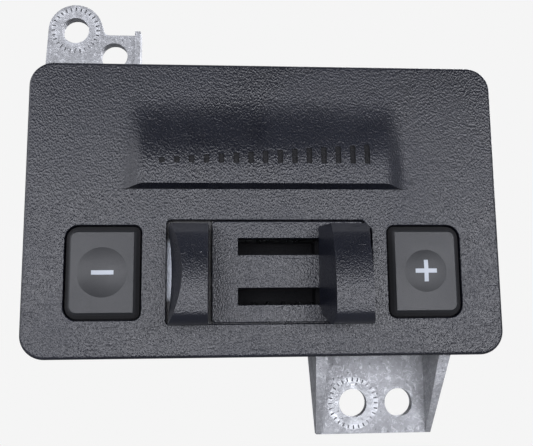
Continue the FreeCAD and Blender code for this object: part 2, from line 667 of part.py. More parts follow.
def inner_chassis():
    """The moulded plate behind the faceplate that guides the buttons and carries the control board."""
    half_w = HOUSING_HALF_W - HOUSING_WALL - 0.5
    top = HOUSING_HALF_H - HOUSING_WALL - 0.5
    low = -(FACE_H / 2 - FACE_WALL - 0.4)
    plate = slab(-half_w, half_w, low, top, CHASSIS_Y, CHASSIS_BACK_Y, 2.0)
    posts = [rod_y(CHASSIS_POST_R, x, z, CHASSIS_Y, CONTROL_BOARD_Y) for x, z in chassis_posts()]
    for side in (-1, 1):
        x = side * BUTTON_X
        for z in (BUTTON_Z - POST_PITCH / 2, BUTTON_Z + POST_PITCH / 2):
            posts.append(rod_y(POST_R + 1.4, x, z, CHASSIS_Y, CHASSIS_BACK_Y + 1.5))
    plate = joined(plate, posts)
    window_x = (FRAME_LEFT - SEAM_GAP, FRAME_RIGHT + SEAM_GAP)
    window_z = (FRAME_BOTTOM - SEAM_GAP, FRAME_TOP + SEAM_GAP)
    cuts = [box(*window_x, CHASSIS_Y - 1, CHASSIS_BACK_Y + 1, *window_z)]
    for side in (-1, 1):
        x = side * BUTTON_X
        cuts.append(rod_y(LIGHT_GUIDE_R, x, BUTTON_Z, CHASSIS_Y - 1, CHASSIS_BACK_Y + 2))
        for z in (BUTTON_Z - POST_PITCH / 2, BUTTON_Z + POST_PITCH / 2):
            cuts.append(rod_y(POST_R + GUIDE_FIT, x, z, CHASSIS_Y - 1, CHASSIS_BACK_Y + 3))
    clear_r = CHASSIS_SCREW_R + SCREW_FIT
    cuts += [rod_y(clear_r, x, z, CHASSIS_Y - 1, CHASSIS_BACK_Y + 1) for x, z in CHASSIS_SCREW_SPOTS]
    cuts += [rod_y(SMALL_SCREW_R, x, z, CONTROL_BOARD_Y - 6, CONTROL_BOARD_Y + 1) for x, z in chassis_posts()]
    return plate.cut(cuts)


def chassis_screws():
    size = (INNER_Y + 0.6, CHASSIS_BACK_Y, CHASSIS_SCREW_R, 1)
    return Part.makeCompound([screw(x, z, *size) for x, z in CHASSIS_SCREW_SPOTS])


def light_guides():
    spans = (CHASSIS_Y + 0.8, CONTROL_BOARD_Y - LED[1])
    return Part.makeCompound([rod_y(LIGHT_GUIDE_R, side * BUTTON_X, BUTTON_Z, *spans) for side in (-1, 1)])


def legend_leds():
    y = CONTROL_BOARD_Y - LED[1]
    return Part.makeCompound([centred_box(LED, side * BUTTON_X, y, BUTTON_Z) for side in (-1, 1)])


def switch_body(side):
    x, z = side * BUTTON_X, BUTTON_Z - POST_PITCH / 2
    size = (SWITCH_SIDE, SWITCH_H, SWITCH_SIDE)
    body = centred_box(size, x, CONTROL_BOARD_Y - SWITCH_H, z)
    return body.cut(rod_y(PLUNGER_R + PLUNGER_FIT, x, z, 0, CONTROL_BOARD_Y - 0.5))


def switch_plunger(side):
    """The switch's own plunger, which the cap's longer post bears on."""
    x, z = side * BUTTON_X, BUTTON_Z - POST_PITCH / 2
    return rod_y(PLUNGER_R, x, z, plunger_front_y(), CONTROL_BOARD_Y - 0.5 - BUTTON_TRAVEL - 0.3)


def minus_switch():
    return switch_body(-1)


def plus_switch():
    return switch_body(1)


def minus_switch_plunger():
    return switch_plunger(-1)


def plus_switch_plunger():
    return switch_plunger(1)


def board(y, spots, hole_r):
    plate = box(-BOARD_HALF_W, BOARD_HALF_W, y, y + BOARD_T, -BOARD_HALF_H, BOARD_HALF_H)
    return plate.cut([rod_y(hole_r, x, z, y - 1, y + BOARD_T + 1) for x, z in spots])


def control_board():
    return board(CONTROL_BOARD_Y, chassis_posts(), SMALL_SCREW_R + SCREW_FIT)


def control_board_screws():
    size = (CONTROL_BOARD_Y - 5, CONTROL_BACK_Y, SMALL_SCREW_R, 1)
    return Part.makeCompound([screw(x, z, *size) for x, z in chassis_posts()])


def position_sensor():
    x = (CARRIAGE_LEFT + CARRIAGE_RIGHT - STROKE) / 2
    return centred_box(SENSOR, x, CONTROL_BOARD_Y - SENSOR[1], SLIDER_Z)


def microcontroller():
    return centred_box(MICROCONTROLLER, MICROCONTROLLER_X, CONTROL_BACK_Y, MICROCONTROLLER_Z)


def board_link():
    """The pin header between the two boards: two bars and a row of pins."""
    z = BOARD_HALF_H - 8.0
    front_bar = centred_box((LINK_W, LINK_FRONT_T, LINK_H), LINK_X, CONTROL_BACK_Y, z)
    back_bar = centred_box((LINK_W, LINK_BACK_T, LINK_H), LINK_X, POWER_BOARD_Y - LINK_BACK_T, z)
    pin = (PIN_SIDE, POWER_BOARD_Y - CONTROL_BACK_Y, PIN_SIDE)
    columns = [LINK_X + (i - (LINK_PINS - 1) / 2) * LINK_PITCH for i in range(LINK_PINS)]
    return joined(front_bar, [back_bar] + [centred_box(pin, x, CONTROL_BACK_Y, z) for x in columns])


def power_posts():
    return [(sx * POWER_SCREW_X, sz * POWER_SCREW_Z) for sx in (-1, 1) for sz in (-1, 1)]


def power_board():
    return board(POWER_BOARD_Y, power_posts(), POWER_SCREW_R + SCREW_FIT)


def power_board_screws():
    size = (POWER_BACK_Y + 6, POWER_BOARD_Y, POWER_SCREW_R, -1)
    return Part.makeCompound([screw(x, z, *size) for x, z in power_posts()])


def transistor_heights():
    return [(i - (TRANSISTOR_COUNT - 1) / 2) * TRANSISTOR_PITCH for i in range(TRANSISTOR_COUNT)]


def power_transistors():
    heights = transistor_heights()
    return Part.makeCompound([centred_box(TRANSISTOR, TRANSISTOR_X, POWER_BACK_Y, z) for z in heights])


def thermal_pad():
    height = (TRANSISTOR_COUNT - 1) * TRANSISTOR_PITCH + TRANSISTOR[2] + 2
    return centred_box((TRANSISTOR[0] + 2, THERMAL_PAD_T, height), TRANSISTOR_X, TRANSISTOR_BACK_Y, 0)


def capacitors():
    ends = (POWER_BOARD_Y - CAPACITOR_L, POWER_BOARD_Y)
    return Part.makeCompound([rod_y(CAPACITOR_R, x, CAPACITOR_Z, *ends) for x in CAPACITOR_XS])


def current_shunt():
    """A folded strip on the power board that the brake current passes through."""
    front = POWER_BOARD_Y - SHUNT[1]
    strip = centred_box(SHUNT, SHUNT_X, front, SHUNT_Z)
    arch = (SHUNT[0] - 2 * SHUNT_T, SHUNT[1], SHUNT[2] + 2)
    return strip.cut(centred_box(arch, SHUNT_X, front + SHUNT_T, SHUNT_Z))


# ---------------------------------------------------------------- connector
def plug_x_span(grow):
    return PLUG_X - PLUG_W / 2 - grow, PLUG_X + PLUG_W / 2 + grow


def connector_shell():
    x0, x1 = plug_x_span(0)
    half = PLUG_H / 2
    body = slab(x0, x1, -half, half, POWER_BACK_Y, PLUG_BACK_Y, 2.0)
    fx0, fx1 = plug_x_span(GASKET_RIM)
    flange_y = BACK_WALL_Y - GASKET_T
    flange = slab(fx0, fx1, -half - GASKET_RIM, half + GASKET_RIM, flange_y - 2.0, flange_y, 2.0)
    key = box(PLUG_X - 3, PLUG_X + 3, PLUG_BACK_Y - 8, PLUG_BACK_Y, half, half + 1.6)
    body = joined(body, [flange, key])
    socket = slab(
        x0 + PLUG_WALL,
        x1 - PLUG_WALL,
        -half + PLUG_WALL,
        half - PLUG_WALL,
        PLUG_BACK_Y - PLUG_DEPTH,
        PLUG_BACK_Y + 1,
        1.0,
    )
    return body.cut([socket] + pin_bars())


def pin_bars():
    y0, y1 = POWER_BACK_Y, PLUG_BACK_Y - PLUG_DEPTH + PIN_OUT
    size = (PIN_SIDE, y1 - y0, PIN_SIDE)
    columns = [PLUG_X + (i - (PIN_COLUMNS - 1) / 2) * PIN_PITCH for i in range(PIN_COLUMNS)]
    return [centred_box(size, x, y0, z) for x in columns for z in (-PIN_PITCH / 2, PIN_PITCH / 2)]


def connector_pins():
    return Part.makeCompound(pin_bars())


def connector_gasket():
    x0, x1 = plug_x_span(GASKET_RIM)
    half = PLUG_H / 2
    y0, y1 = BACK_WALL_Y - GASKET_T, BACK_WALL_Y
    ring = slab(x0, x1, -half - GASKET_RIM, half + GASKET_RIM, y0, y1, 2.0)
    ix0, ix1 = plug_x_span(0)
    return ring.cut(slab(ix0, ix1, -half, half, y0 - 1, y1 + 1, 2.0))


# ---------------------------------------------------------------- rear housing
def housing_ear():
    """The upper mounting ear: a rounded bolt boss and a lower shoulder with a second hole."""
    y0, y1 = MOUNT_PLATE_Y, MOUNT_PLATE_Y + MOUNT_PLATE_T
    x, z = EAR_HOLE
    left = x - EAR_R
    low = HOUSING_HALF_H - 16.0
    boss = rod_y(EAR_R, x, z, y0, y1)
    neck = prism(
        [
            V(left, y0, z),
            V(left - 0.8, y0, HOUSING_HALF_H + 8.0),
            V(-HOUSING_HALF_W - 1, y0, low),
            V(-HOUSING_HALF_W + 1, y0, low),
            V(x + EAR_R, y0, HOUSING_HALF_H - 1),
            V(x + EAR_R, y0, z),
        ],
        V(0, y1 - y0, 0),
    )
    shoulder = box(x, EAR_RIGHT, y0, y1, HOUSING_HALF_H - 1, EAR_SHOULDER_Z)
    lip_top = EAR_SHOULDER_Z + EAR_LIP_RISE
    lip = box(EAR_RIGHT - EAR_LIP_W, EAR_RIGHT, y0 - EAR_LIP_OUT, y1, HOUSING_HALF_H - 1, lip_top)
    side = x + EAR_R
    fillet_x, fillet_z = side + EAR_FILLET_R, EAR_SHOULDER_Z + EAR_FILLET_R
    corner = box(side - 0.5, fillet_x, y0, y1, EAR_SHOULDER_Z - 0.5, fillet_z)
    hollow = rod_y(EAR_FILLET_R, fillet_x, fillet_z, y0 - 1, y1 + 1)
    return [boss, neck, shoulder, lip, corner.cut(hollow)]


def housing_foot():
    """The lower mounting foot: a back plate between two ribs that die away at its bottom edge."""
    y0, y1 = MOUNT_PLATE_Y, MOUNT_PLATE_Y + MOUNT_PLATE_T
    top = -HOUSING_HALF_H + 1
    plate = prism(
        [
            V(FOOT_LEFT, y0, top),
            V(FOOT_RIGHT, y0, top),
            V(FOOT_RIGHT - FOOT_TAPER, y0, FOOT_BOTTOM),
            V(FOOT_LEFT + FOOT_TAPER, y0, FOOT_BOTTOM),
        ],
        V(0, y1 - y0, 0),
    )
    pieces = [plate]
    for edge, sign in ((FOOT_LEFT, 1), (FOOT_RIGHT, -1)):
        side = [
            V(edge, HOUSING_FRONT_Y, top),
            V(edge, y1, top),
            V(edge, y1, FOOT_BOTTOM),
            V(edge, y0, FOOT_BOTTOM),
            V(edge, HOUSING_FRONT_Y, -FACE_H / 2),
        ]
        pieces.append(prism(side, V(sign * FOOT_RIB_T, 0, 0)))
    return pieces


def foot_side_trim():
    """Tools that lean the foot's two outer sides in towards the bottom."""
    y0, y1 = HOUSING_FRONT_Y - 1, MOUNT_PLATE_Y + MOUNT_PLATE_T + 1
    top = -HOUSING_HALF_H
    tools = []
    for edge, out in ((FOOT_LEFT, -1), (FOOT_RIGHT, 1)):
        lean = [
            V(edge, y0, top),
            V(edge + out * 5, y0, top),
            V(edge + out * 5, y0, FOOT_BOTTOM - 1),
            V(edge - out * FOOT_TAPER, y0, FOOT_BOTTOM - 1),
        ]
        tools.append(prism(lean, V(0, y1 - y0, 0)))
    return tools


def housing_fins():
    last = HOUSING_HALF_W - FIN_T
    pitch = (last - FIN_FIRST_X) / (FIN_COUNT - 1)
    half = HOUSING_HALF_H - FIN_SET_IN
    lefts = [FIN_FIRST_X + i * pitch for i in range(FIN_COUNT)]
    y0, y1 = HOUSING_BACK_Y - 1, HOUSING_BACK_Y + FIN_HEIGHT
    return [box(x, x + FIN_T, y0, y1, -half, half) for x in lefts]


def housing_lugs():
    lugs = []
    for x, z in boss_spots():
        y0, y1 = HOUSING_FRONT_Y, HOUSING_FRONT_Y + LUG_T
        inner = math.copysign(HOUSING_HALF_W - 1, x)
        lugs.append(rod_y(LUG_R, x, z, y0, y1))
        lugs.append(box(*sorted((inner, x)), y0, y1, z - LUG_R, z + LUG_R))
    return lugs


def rear_housing():
    half_w, half_h = HOUSING_HALF_W, HOUSING_HALF_H
    wall = HOUSING_WALL
    body = slab(-half_w, half_w, -half_h, half_h, HOUSING_FRONT_Y, HOUSING_BACK_Y, HOUSING_CORNER_R)
    body = joined(body, housing_fins() + housing_lugs() + housing_ear() + housing_foot())
    cavity = slab(
        -half_w + wall, half_w - wall, -half_h + wall, half_h - wall, HOUSING_FRONT_Y - 1, BACK_WALL_Y, 1.0
    )
    body = body.cut([cavity] + foot_side_trim())
    pedestal_h = (TRANSISTOR_COUNT - 1) * TRANSISTOR_PITCH + TRANSISTOR[2] + 2
    pad_back = TRANSISTOR_BACK_Y + THERMAL_PAD_T
    pedestal_size = (TRANSISTOR[0] + 2, BACK_WALL_Y - pad_back + 0.5, pedestal_h)
    inside = [centred_box(pedestal_size, TRANSISTOR_X, pad_back, 0)]
    inside += [rod_y(POWER_POST_R, x, z, POWER_BACK_Y, BACK_WALL_Y + 0.5) for x, z in power_posts()]
    body = joined(body, inside)
    x0, x1 = plug_x_span(0.3)
    half = PLUG_H / 2 + 0.3
    cuts = [slab(x0, x1, -half, half, BACK_WALL_Y - 1, HOUSING_BACK_Y + 1, 2.0)]
    cuts += [rod_y(POWER_SCREW_R, x, z, POWER_BACK_Y - 1, POWER_BACK_Y + 7) for x, z in power_posts()]
    cuts += [rod_y(CASE_SCREW_R + SCREW_FIT, x, z, 0, HOUSING_FRONT_Y + LUG_T + 1) for x, z in boss_spots()]
    plate_y = (MOUNT_PLATE_Y - 2, MOUNT_PLATE_Y + MOUNT_PLATE_T + 1)
    for x, z in (EAR_HOLE, EAR_SECOND_HOLE, FOOT_HOLE, FOOT_SECOND_HOLE):
        cuts.append(rod_y(MOUNT_HOLE_R, x, z, *plate_y))
    return body.cut(cuts)


def case_screws():
    seat = HOUSING_FRONT_Y + LUG_T
    return Part.makeCompound([screw(x, z, INNER_Y + 1.0, seat, CASE_SCREW_R, 1) for x, z in boss_spots()])


# ---------------------------------------------------------------- the assembly
PIECES = [
    front_bezel,
    slider_panel,
    thumb_rest,
    rest_plate,
    rest_screws,
    slide_lever,
    lever_carriage,
    carriage_screws,
    position_magnet,
    upper_guide_rod,
    lower_guide_rod,
    lever_return_spring,
    stop_bumpers,
    slider_frame,
    minus_button,
    minus_legend,
    plus_button,
    plus_legend,
    minus_switch,
    minus_switch_plunger,
    plus_switch,
    plus_switch_plunger,
    inner_chassis,
    chassis_screws,
    light_guides,
    legend_leds,
    control_board,
    control_board_screws,
    position_sensor,
    microcontroller,
    board_link,
    power_board,
    power_board_screws,
    power_transistors,
    thermal_pad,
    capacitors,
    current_shunt,
    connector_shell,
    connector_pins,
    connector_gasket,
    rear_housing,
    case_screws,
]


def main():
    os.makedirs("parts", exist_ok=True)
    for piece in PIECES:
        shape = piece()
        shape.exportStep("parts/%s.step" % piece.__name__)
        facts = (piece.__name__, len(shape.Solids), shape.Volume, shape.isValid())
        print("%-22s solids %2d  volume %9.1f  valid %s" % facts)


main()
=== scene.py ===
"""Builds the finished pieces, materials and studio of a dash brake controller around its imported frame.

Lengths are in metres, with +Z up and the faceplate facing -Y.
"""

import contextlib
import json
import math

import bmesh
import bpy
from bpy.props import FloatProperty, FloatVectorProperty, IntProperty, PointerProperty
from mathutils import Matrix, Vector

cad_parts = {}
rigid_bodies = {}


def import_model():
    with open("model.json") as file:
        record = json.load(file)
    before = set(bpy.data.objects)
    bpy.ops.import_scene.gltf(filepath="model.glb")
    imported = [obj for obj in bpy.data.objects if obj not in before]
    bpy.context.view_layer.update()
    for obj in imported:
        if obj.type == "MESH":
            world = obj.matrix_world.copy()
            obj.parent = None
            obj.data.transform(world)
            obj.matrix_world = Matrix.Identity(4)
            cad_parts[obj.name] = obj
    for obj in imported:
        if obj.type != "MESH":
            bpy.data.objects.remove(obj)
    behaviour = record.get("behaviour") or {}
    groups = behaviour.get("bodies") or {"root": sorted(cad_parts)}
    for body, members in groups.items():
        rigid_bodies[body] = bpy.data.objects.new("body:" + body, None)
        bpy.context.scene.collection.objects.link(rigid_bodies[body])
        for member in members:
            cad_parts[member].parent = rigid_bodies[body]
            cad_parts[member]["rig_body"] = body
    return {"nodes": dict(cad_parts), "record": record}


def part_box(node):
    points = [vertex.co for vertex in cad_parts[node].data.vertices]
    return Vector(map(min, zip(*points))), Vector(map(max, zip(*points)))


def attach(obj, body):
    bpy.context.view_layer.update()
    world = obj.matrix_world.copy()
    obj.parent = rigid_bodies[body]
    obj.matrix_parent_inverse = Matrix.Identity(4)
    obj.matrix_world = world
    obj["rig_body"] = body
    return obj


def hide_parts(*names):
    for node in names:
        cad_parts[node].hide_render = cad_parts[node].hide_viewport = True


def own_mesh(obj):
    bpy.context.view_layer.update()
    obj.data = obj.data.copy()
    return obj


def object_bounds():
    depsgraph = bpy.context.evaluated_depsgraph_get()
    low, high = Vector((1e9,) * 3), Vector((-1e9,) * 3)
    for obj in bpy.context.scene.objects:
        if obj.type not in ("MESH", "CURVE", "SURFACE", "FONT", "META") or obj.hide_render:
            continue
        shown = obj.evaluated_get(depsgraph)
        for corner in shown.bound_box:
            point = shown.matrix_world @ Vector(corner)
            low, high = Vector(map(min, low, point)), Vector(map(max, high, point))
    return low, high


bl_info = {
    "name": "Brake controller unit",
    "version": (1, 0, 0),
    "blender": (4, 5, 0),
    "location": "View3D > Sidebar > Brake controller",
    "description": "Builds the finished pieces, materials and studio of a dash brake controller",
    "category": "Object",
}

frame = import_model()
CAD_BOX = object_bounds()
NODES = frame["nodes"]
MM = 0.001
FACE_LOW, FACE_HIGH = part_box("front_bezel")
PANEL_LOW, PANEL_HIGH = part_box("slider_panel")
LEVER_LOW, LEVER_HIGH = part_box("slide_lever")
REST_LOW, REST_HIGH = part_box("thumb_rest")
SIGN_LOW, SIGN_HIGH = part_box("minus_legend")
GRIP_SINK = 0.3 * MM
CHASSIS_BACK = 3.6 * MM
POST_RADIUS = 1.5 * MM
POST_OFFSET = 7.5 * MM
LIGHT_WALL_RADIUS = 3.9 * MM
STEPS_TO_NOSE = 21
HOOD_COLUMNS = 12
HOOD_ROWS = 34
BOLT_SEATS = ((-56.9 * MM, 59.9 * MM), (27.0 * MM, -54.3 * MM))
SEAT_Y = 20.0 * MM
DUST = (0.34, 0.35, 0.36)


# ---------------------------------------------------------------- sizes and colours
def length(name, description, default):
    """A size that a user may change; its default is in millimetres."""
    kinds = {"precision": 5, "unit": "LENGTH", "subtype": "DISTANCE"}
    return FloatProperty(name=name, description=description, default=default * MM, **kinds)


def angle(name, description, degrees):
    """An angle that a user may change."""
    kinds = {"unit": "ROTATION", "subtype": "ANGLE"}
    return FloatProperty(name=name, description=description, default=math.radians(degrees), **kinds)


def colour(name, description, default):
    """A colour that a user may change."""
    kinds = {"size": 3, "min": 0.0, "max": 1.0, "subtype": "COLOR"}
    return FloatVectorProperty(name=name, description=description, default=default, **kinds)


class BrakeSizes(bpy.types.PropertyGroup):
    """Sizes of the visible mouldings."""

    face_front: length("Face plane", "Front plane of the faceplate along Y", -6.0)
    corner_radius: length("Corner radius", "Outer corners of the faceplate", 6.4)
    edge_radius: length("Edge radius", "Roll of the faceplate's front edge", 0.9)
    face_wall: length("Faceplate wall", "Thickness of the faceplate's face and rim", 2.5)
    opening_edge: length("Opening edge", "Roll of the edges round the openings", 0.3)
    hood_root: length("Hood root", "Height of the line where the hood's lip meets the face", 4.7)
    hood_lip: length("Hood lip", "How far the lip's edge is above its root", 1.1)
    hood_top: length("Hood top", "Height where the hood dies into the face", 31.2)
    hood_level: length("Hood level", "Height of the level band behind the lip", 2.4)
    hood_half: length("Hood half width", "Half the width over which the hood has its full height", 31.0)
    hood_fade: length("Hood fade", "How far the hood takes to die away at each side", 8.5)
    bar_count: IntProperty(name="Scale bars", description="Bars engraved in the hood", default=15)
    bar_span: length("Scale width", "Width of the engraved row of bars", 56.0)
    bar_width: length("Bar width", "Width of one engraved bar", 1.5)
    bar_low: length("Shortest bar", "Height of the first bar", 1.4)
    bar_high: length("Tallest bar", "Height of the last bar", 5.4)
    bar_foot: length("Scale foot", "Height of the bars' feet", 11.2)
    bar_depth: length("Bar depth", "Depth of the engraving", 0.5)
    button_x: length("Button offset", "Button centres to the middle of the face", 42.35)
    button_z: length("Button height", "Height of the button centres", -17.3)
    button_width: length("Button opening width", "Width of a button's opening", 19.8)
    button_height: length("Button opening height", "Height of a button's opening", 24.6)
    button_gap: length("Button gap", "Gap round a button cap", 0.4)
    button_outer_radius: length("Button outer corners", "Opening corners away from the slider", 3.6)
    button_inner_radius: length("Button inner corners", "Opening corners beside the slider", 2.0)
    button_proud: length("Button stand", "How far a cap stands out of the face", 1.0)
    button_bevel: length("Button bevel", "Sloped border of a cap", 1.5)
    dish_radius: length("Dish radius", "Radius of the minus cap's dish", 6.5)
    dish_depth: length("Dish depth", "Depth of the minus cap's dish", 0.9)
    dome_radius: length("Dome radius", "Radius of the plus cap's dome", 5.6)
    dome_height: length("Dome height", "Height of the plus cap's dome", 0.6)
    panel_right: length("Panel right edge", "Right edge of the visible panel", 28.1)
    panel_margin: length("Panel flange", "How far the flange reaches past the visible panel", 1.7)
    panel_corner: length("Panel corner radius", "Small corners of the panel", 1.0)
    panel_chamfer: length("Panel cut corners", "Cut corners on the panel's right", 2.4)
    slot_height: length("Slot height", "Height of the two slots", 4.4)
    slot_pitch: length("Slot pitch", "Distance between the slots", 13.1)
    slider_z: length("Slider height", "Height of the slider's centre line", -17.2)
    slot_left: length("Slot left end", "Left end of the slots", -7.35)
    slot_right: length("Slot right end", "Right end of the slots", 27.35)
    leg_left: length("Leg left side", "Left side of the lever's legs", 15.75)
    leg_right: length("Leg right side", "Right side of the lever's legs", 26.25)
    leg_height: length("Leg height", "Height of the lever's legs", 3.7)
    grip_heel: length("Grip heel", "Height where a grip's underside meets the panel", -26.6)
    grip_draft: length("Grip draft", "How far each side of the lever leans in", 2.4)
    grip_edge: length("Grip edge", "Roll of a grip's edges", 0.75)
    rest_width: length("Rest width", "Width of the thumb rest at its root", 10.7)
    rest_draft: length("Rest draft", "How far the outer side of the thumb rest leans in", 1.2)
    rest_bow: length("Rest bow", "Hollow of the thumb rest's outer side at its root", 1.0)
    rest_face_bow: length("Rest face bow", "Hollow of the thumb rest's outer side at its face", 3.3)
    housing_edge: length("Casting edge", "Roll of the casting's edges", 0.45)
    moulding_edge: length("Moulding edge", "Roll of the inner mouldings' edges", 0.2)
    teeth: IntProperty(name="Washer teeth", description="Teeth pressed into a bolt seat", default=28)
    seat_radius: length("Bolt seat", "Outer radius of the mark of a toothed washer", 7.4)
    tooth_length: length("Tooth length", "Length of a pressed tooth", 1.1)
    tooth_width: length("Tooth width", "Width of a pressed tooth", 0.42)
    tooth_depth: length("Tooth depth", "Depth of a pressed tooth", 0.35)
    spring_radius: length("Spring radius", "Mean radius of the return spring", 2.4)
    spring_wire: length("Spring wire", "Thickness of the spring's wire", 0.5)
    spring_turns: IntProperty(name="Spring turns", description="Turns of the return spring", default=6)
    spring_solid: length("Spring solid length", "Length of the closed spring at the end of the travel", 3.2)


class BrakeFinishes(bpy.types.PropertyGroup):
    """Base colours of the finishes."""

    face_black: colour("Faceplate", "Grained plastic of the faceplate and panel", (0.006, 0.007, 0.012))
    grip_black: colour("Grips", "Moulded plastic of the lever and the thumb rest", (0.006, 0.007, 0.012))
    button_black: colour("Buttons", "Satin plastic of the button caps", (0.010, 0.011, 0.013))
    casting: colour("Casting", "Die-cast housing", (0.285, 0.29, 0.30))
    legend: colour("Legends", "Light signs in the buttons", (0.36, 0.39, 0.43))
    board: colour("Boards", "Solder mask of the circuit boards", (0.010, 0.085, 0.038))
    floor: colour("Floor", "Studio floor and background", (0.913, 0.913, 0.913))


class BrakeStudio(bpy.types.PropertyGroup):
    """Camera and light."""

    azimuth: angle("Camera azimuth", "Camera turned from straight ahead", -3.844)
    elevation: angle("Camera elevation", "Camera above the horizontal", -8.246)
    roll: angle("Camera roll", "Camera tilted about its line of sight", -0.546)
    distance: length("Camera distance", "Camera to its target", 180.0)
    target_x: length("Target X", "Sideways place of the camera's target", 0.23)
    target_z: length("Target Z", "Height of the camera's target", -4.39)
    lens: FloatProperty(name="Lens", description="Focal length in millimetres", default=45.86)
    floor_drop: length("Floor drop", "Floor below the lowest point of the unit", 60.0)


# ---------------------------------------------------------------- modelling helpers
def leave_edit():
    """Goes back to object mode with nothing selected."""
    if bpy.context.object and bpy.context.object.mode != "OBJECT":
        bpy.ops.object.mode_set(mode="OBJECT")
    bpy.ops.object.select_all(action="DESELECT")


def only(piece):
    """Makes the piece the one that operators act on."""
    leave_edit()
    piece.select_set(True)
    bpy.context.view_layer.objects.active = piece


def settle(name):
    """Names the new primitive and moves its place into its mesh."""
    piece = bpy.context.object
    piece.name = name
    piece.data.name = name
    bpy.ops.object.transform_apply(location=True, rotation=True, scale=True)
    return piece


def add_block(name, low, high):
    """A block between two corners."""
    leave_edit()
    low, high = Vector(low), Vector(high)
    bpy.ops.mesh.primitive_cube_add(size=1.0, location=(low + high) / 2, scale=high - low)
    return settle(name)


def add_rod_y(name, radius, x, z, front, back, sides=48):
    """A round bar along Y between two planes."""
    leave_edit()
    bpy.ops.mesh.primitive_cylinder_add(
        vertices=sides,
        radius=radius,
        depth=back - front,
        location=(x, (front + back) / 2, z),
        rotation=(math.pi / 2, 0, 0),
    )
    return settle(name)


@contextlib.contextmanager
def editing(piece, kind, test):
    """Opens the piece in edit mode with only the vertices, edges or faces selected that pass the test."""
    only(piece)
    bpy.ops.object.mode_set(mode="EDIT")
    bpy.ops.mesh.select_mode(type=kind)
    bpy.ops.mesh.select_all(action="DESELECT")
    mesh = bmesh.from_edit_mesh(piece.data)
    parts = {"VERT": mesh.verts, "EDGE": mesh.edges, "FACE": mesh.faces}[kind]
    chosen = [part for part in parts if test(part)]
    if not chosen:
        raise RuntimeError(f"{piece.name}: nothing was found to shape")
    for part in chosen:
        part.select_set(True)
    mesh.select_flush_mode()
    bmesh.update_edit_mesh(piece.data)
    yield
    bpy.ops.object.mode_set(mode="OBJECT")


def near(a, b, slack=0.01 * MM):
    """True for two lengths that differ by less than the slack."""
    return abs(a - b) < slack


def bevel(piece, test, width, segments=3):
    """Rolls the edges that pass the test; one segment makes a chamfer."""
    with editing(piece, "EDGE", test):
        bpy.ops.mesh.bevel(
            offset=width, segments=segments, profile=0.5, affect="EDGES", clamp_overlap=True
        )


def fold(edge):
    """The angle between an edge's two faces, or zero at an open edge."""
    return edge.calc_face_angle(0.0) if len(edge.link_faces) == 2 else 0.0


def along_y(edge):
    """True for an edge that runs straight back from the face."""
    a, b = edge.verts[0].co, edge.verts[1].co
    return near(a.x, b.x) and near(a.z, b.z)


def in_plane_y(part, y):
    """True for an edge or face that lies in the plane at this depth."""
    return all(near(vert.co.y, y) for vert in part.verts)


def round_corner(piece, x, z, radius, segments=10):
    """Rolls the corner edge that runs along Y at x and z."""
    bevel(
        piece,
        lambda e: along_y(e) and near(e.verts[0].co.x, x) and near(e.verts[0].co.z, z),
        radius,
        segments,
    )


def add_slab(name, low, high, radii, segments=10):
    """A block whose corners, seen from the front, are rounded: low left, low right, top right, top left."""
    slab = add_block(name, low, high)
    corners = ((low[0], low[2]), (high[0], low[2]), (high[0], high[2]), (low[0], high[2]))
    for (x, z), radius in zip(corners, radii):
        round_corner(slab, x, z, radius, segments)
    return slab


def combine(piece, tool, operation):
    """Cuts the tool out of the piece or joins it on, and removes the tool."""
    only(piece)
    step = piece.modifiers.new(operation.lower(), "BOOLEAN")
    step.operation = operation
    step.object = tool
    step.solver = "EXACT"
    bpy.ops.object.modifier_apply(modifier=step.name)
    bpy.data.objects.remove(tool)


def merge(piece, distance=0.002 * MM):
    """Merges doubled vertices and points all faces outwards."""
    with editing(piece, "VERT", lambda v: True):
        bpy.ops.mesh.remove_doubles(threshold=distance)
        bpy.ops.mesh.normals_make_consistent(inside=False)


def slice_levels(piece, test, levels, axis):
    """Cuts the chosen faces at each level along an axis."""
    normal = Vector((0, 0, 0))
    normal[axis] = 1.0
    for level in levels:
        with editing(piece, "FACE", test):
            bpy.ops.mesh.bisect(plane_co=normal * level, plane_no=normal)


def join_pieces(pieces, name):
    """Makes several pieces one piece with one mesh."""
    leave_edit()
    for piece in pieces:
        piece.select_set(True)
    bpy.context.view_layer.objects.active = pieces[0]
    if len(pieces) > 1:
        bpy.ops.object.join()
    pieces[0].name = name
    return pieces[0]


def smooth(piece, degrees):
    """Shades the piece smooth up to an angle, and keeps its large faces flat."""
    only(piece)
    bpy.ops.object.shade_smooth_by_angle(angle=math.radians(degrees))
    step = piece.modifiers.new("normals", "WEIGHTED_NORMAL")
    step.keep_sharp = True
    step.weight = 80
    bpy.ops.object.modifier_apply(modifier=step.name)


def complete(piece, node, finish, degrees=35):
    """Gives a piece its smooth shading and finish, and puts it in the place of its frame node."""
    merge(piece)
    smooth(piece, degrees)
    piece.data.materials.clear()
    piece.data.materials.append(made_finish(finish))
    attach(piece, NODES[node]["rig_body"])
    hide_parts(node)


def paint(piece, name, strength):
    """Keeps a strength for each vertex in an attribute that the finishes read."""
    layer = piece.data.attributes.new(name, "FLOAT", "POINT")
    layer.data.foreach_set("value", [strength(vert.co) for vert in piece.data.vertices])


def ease(t):
    """Zero to one with a soft start and a soft end."""
    t = min(max(t, 0.0), 1.0)
    return t * t * t * (t * (6 * t - 15) + 10)


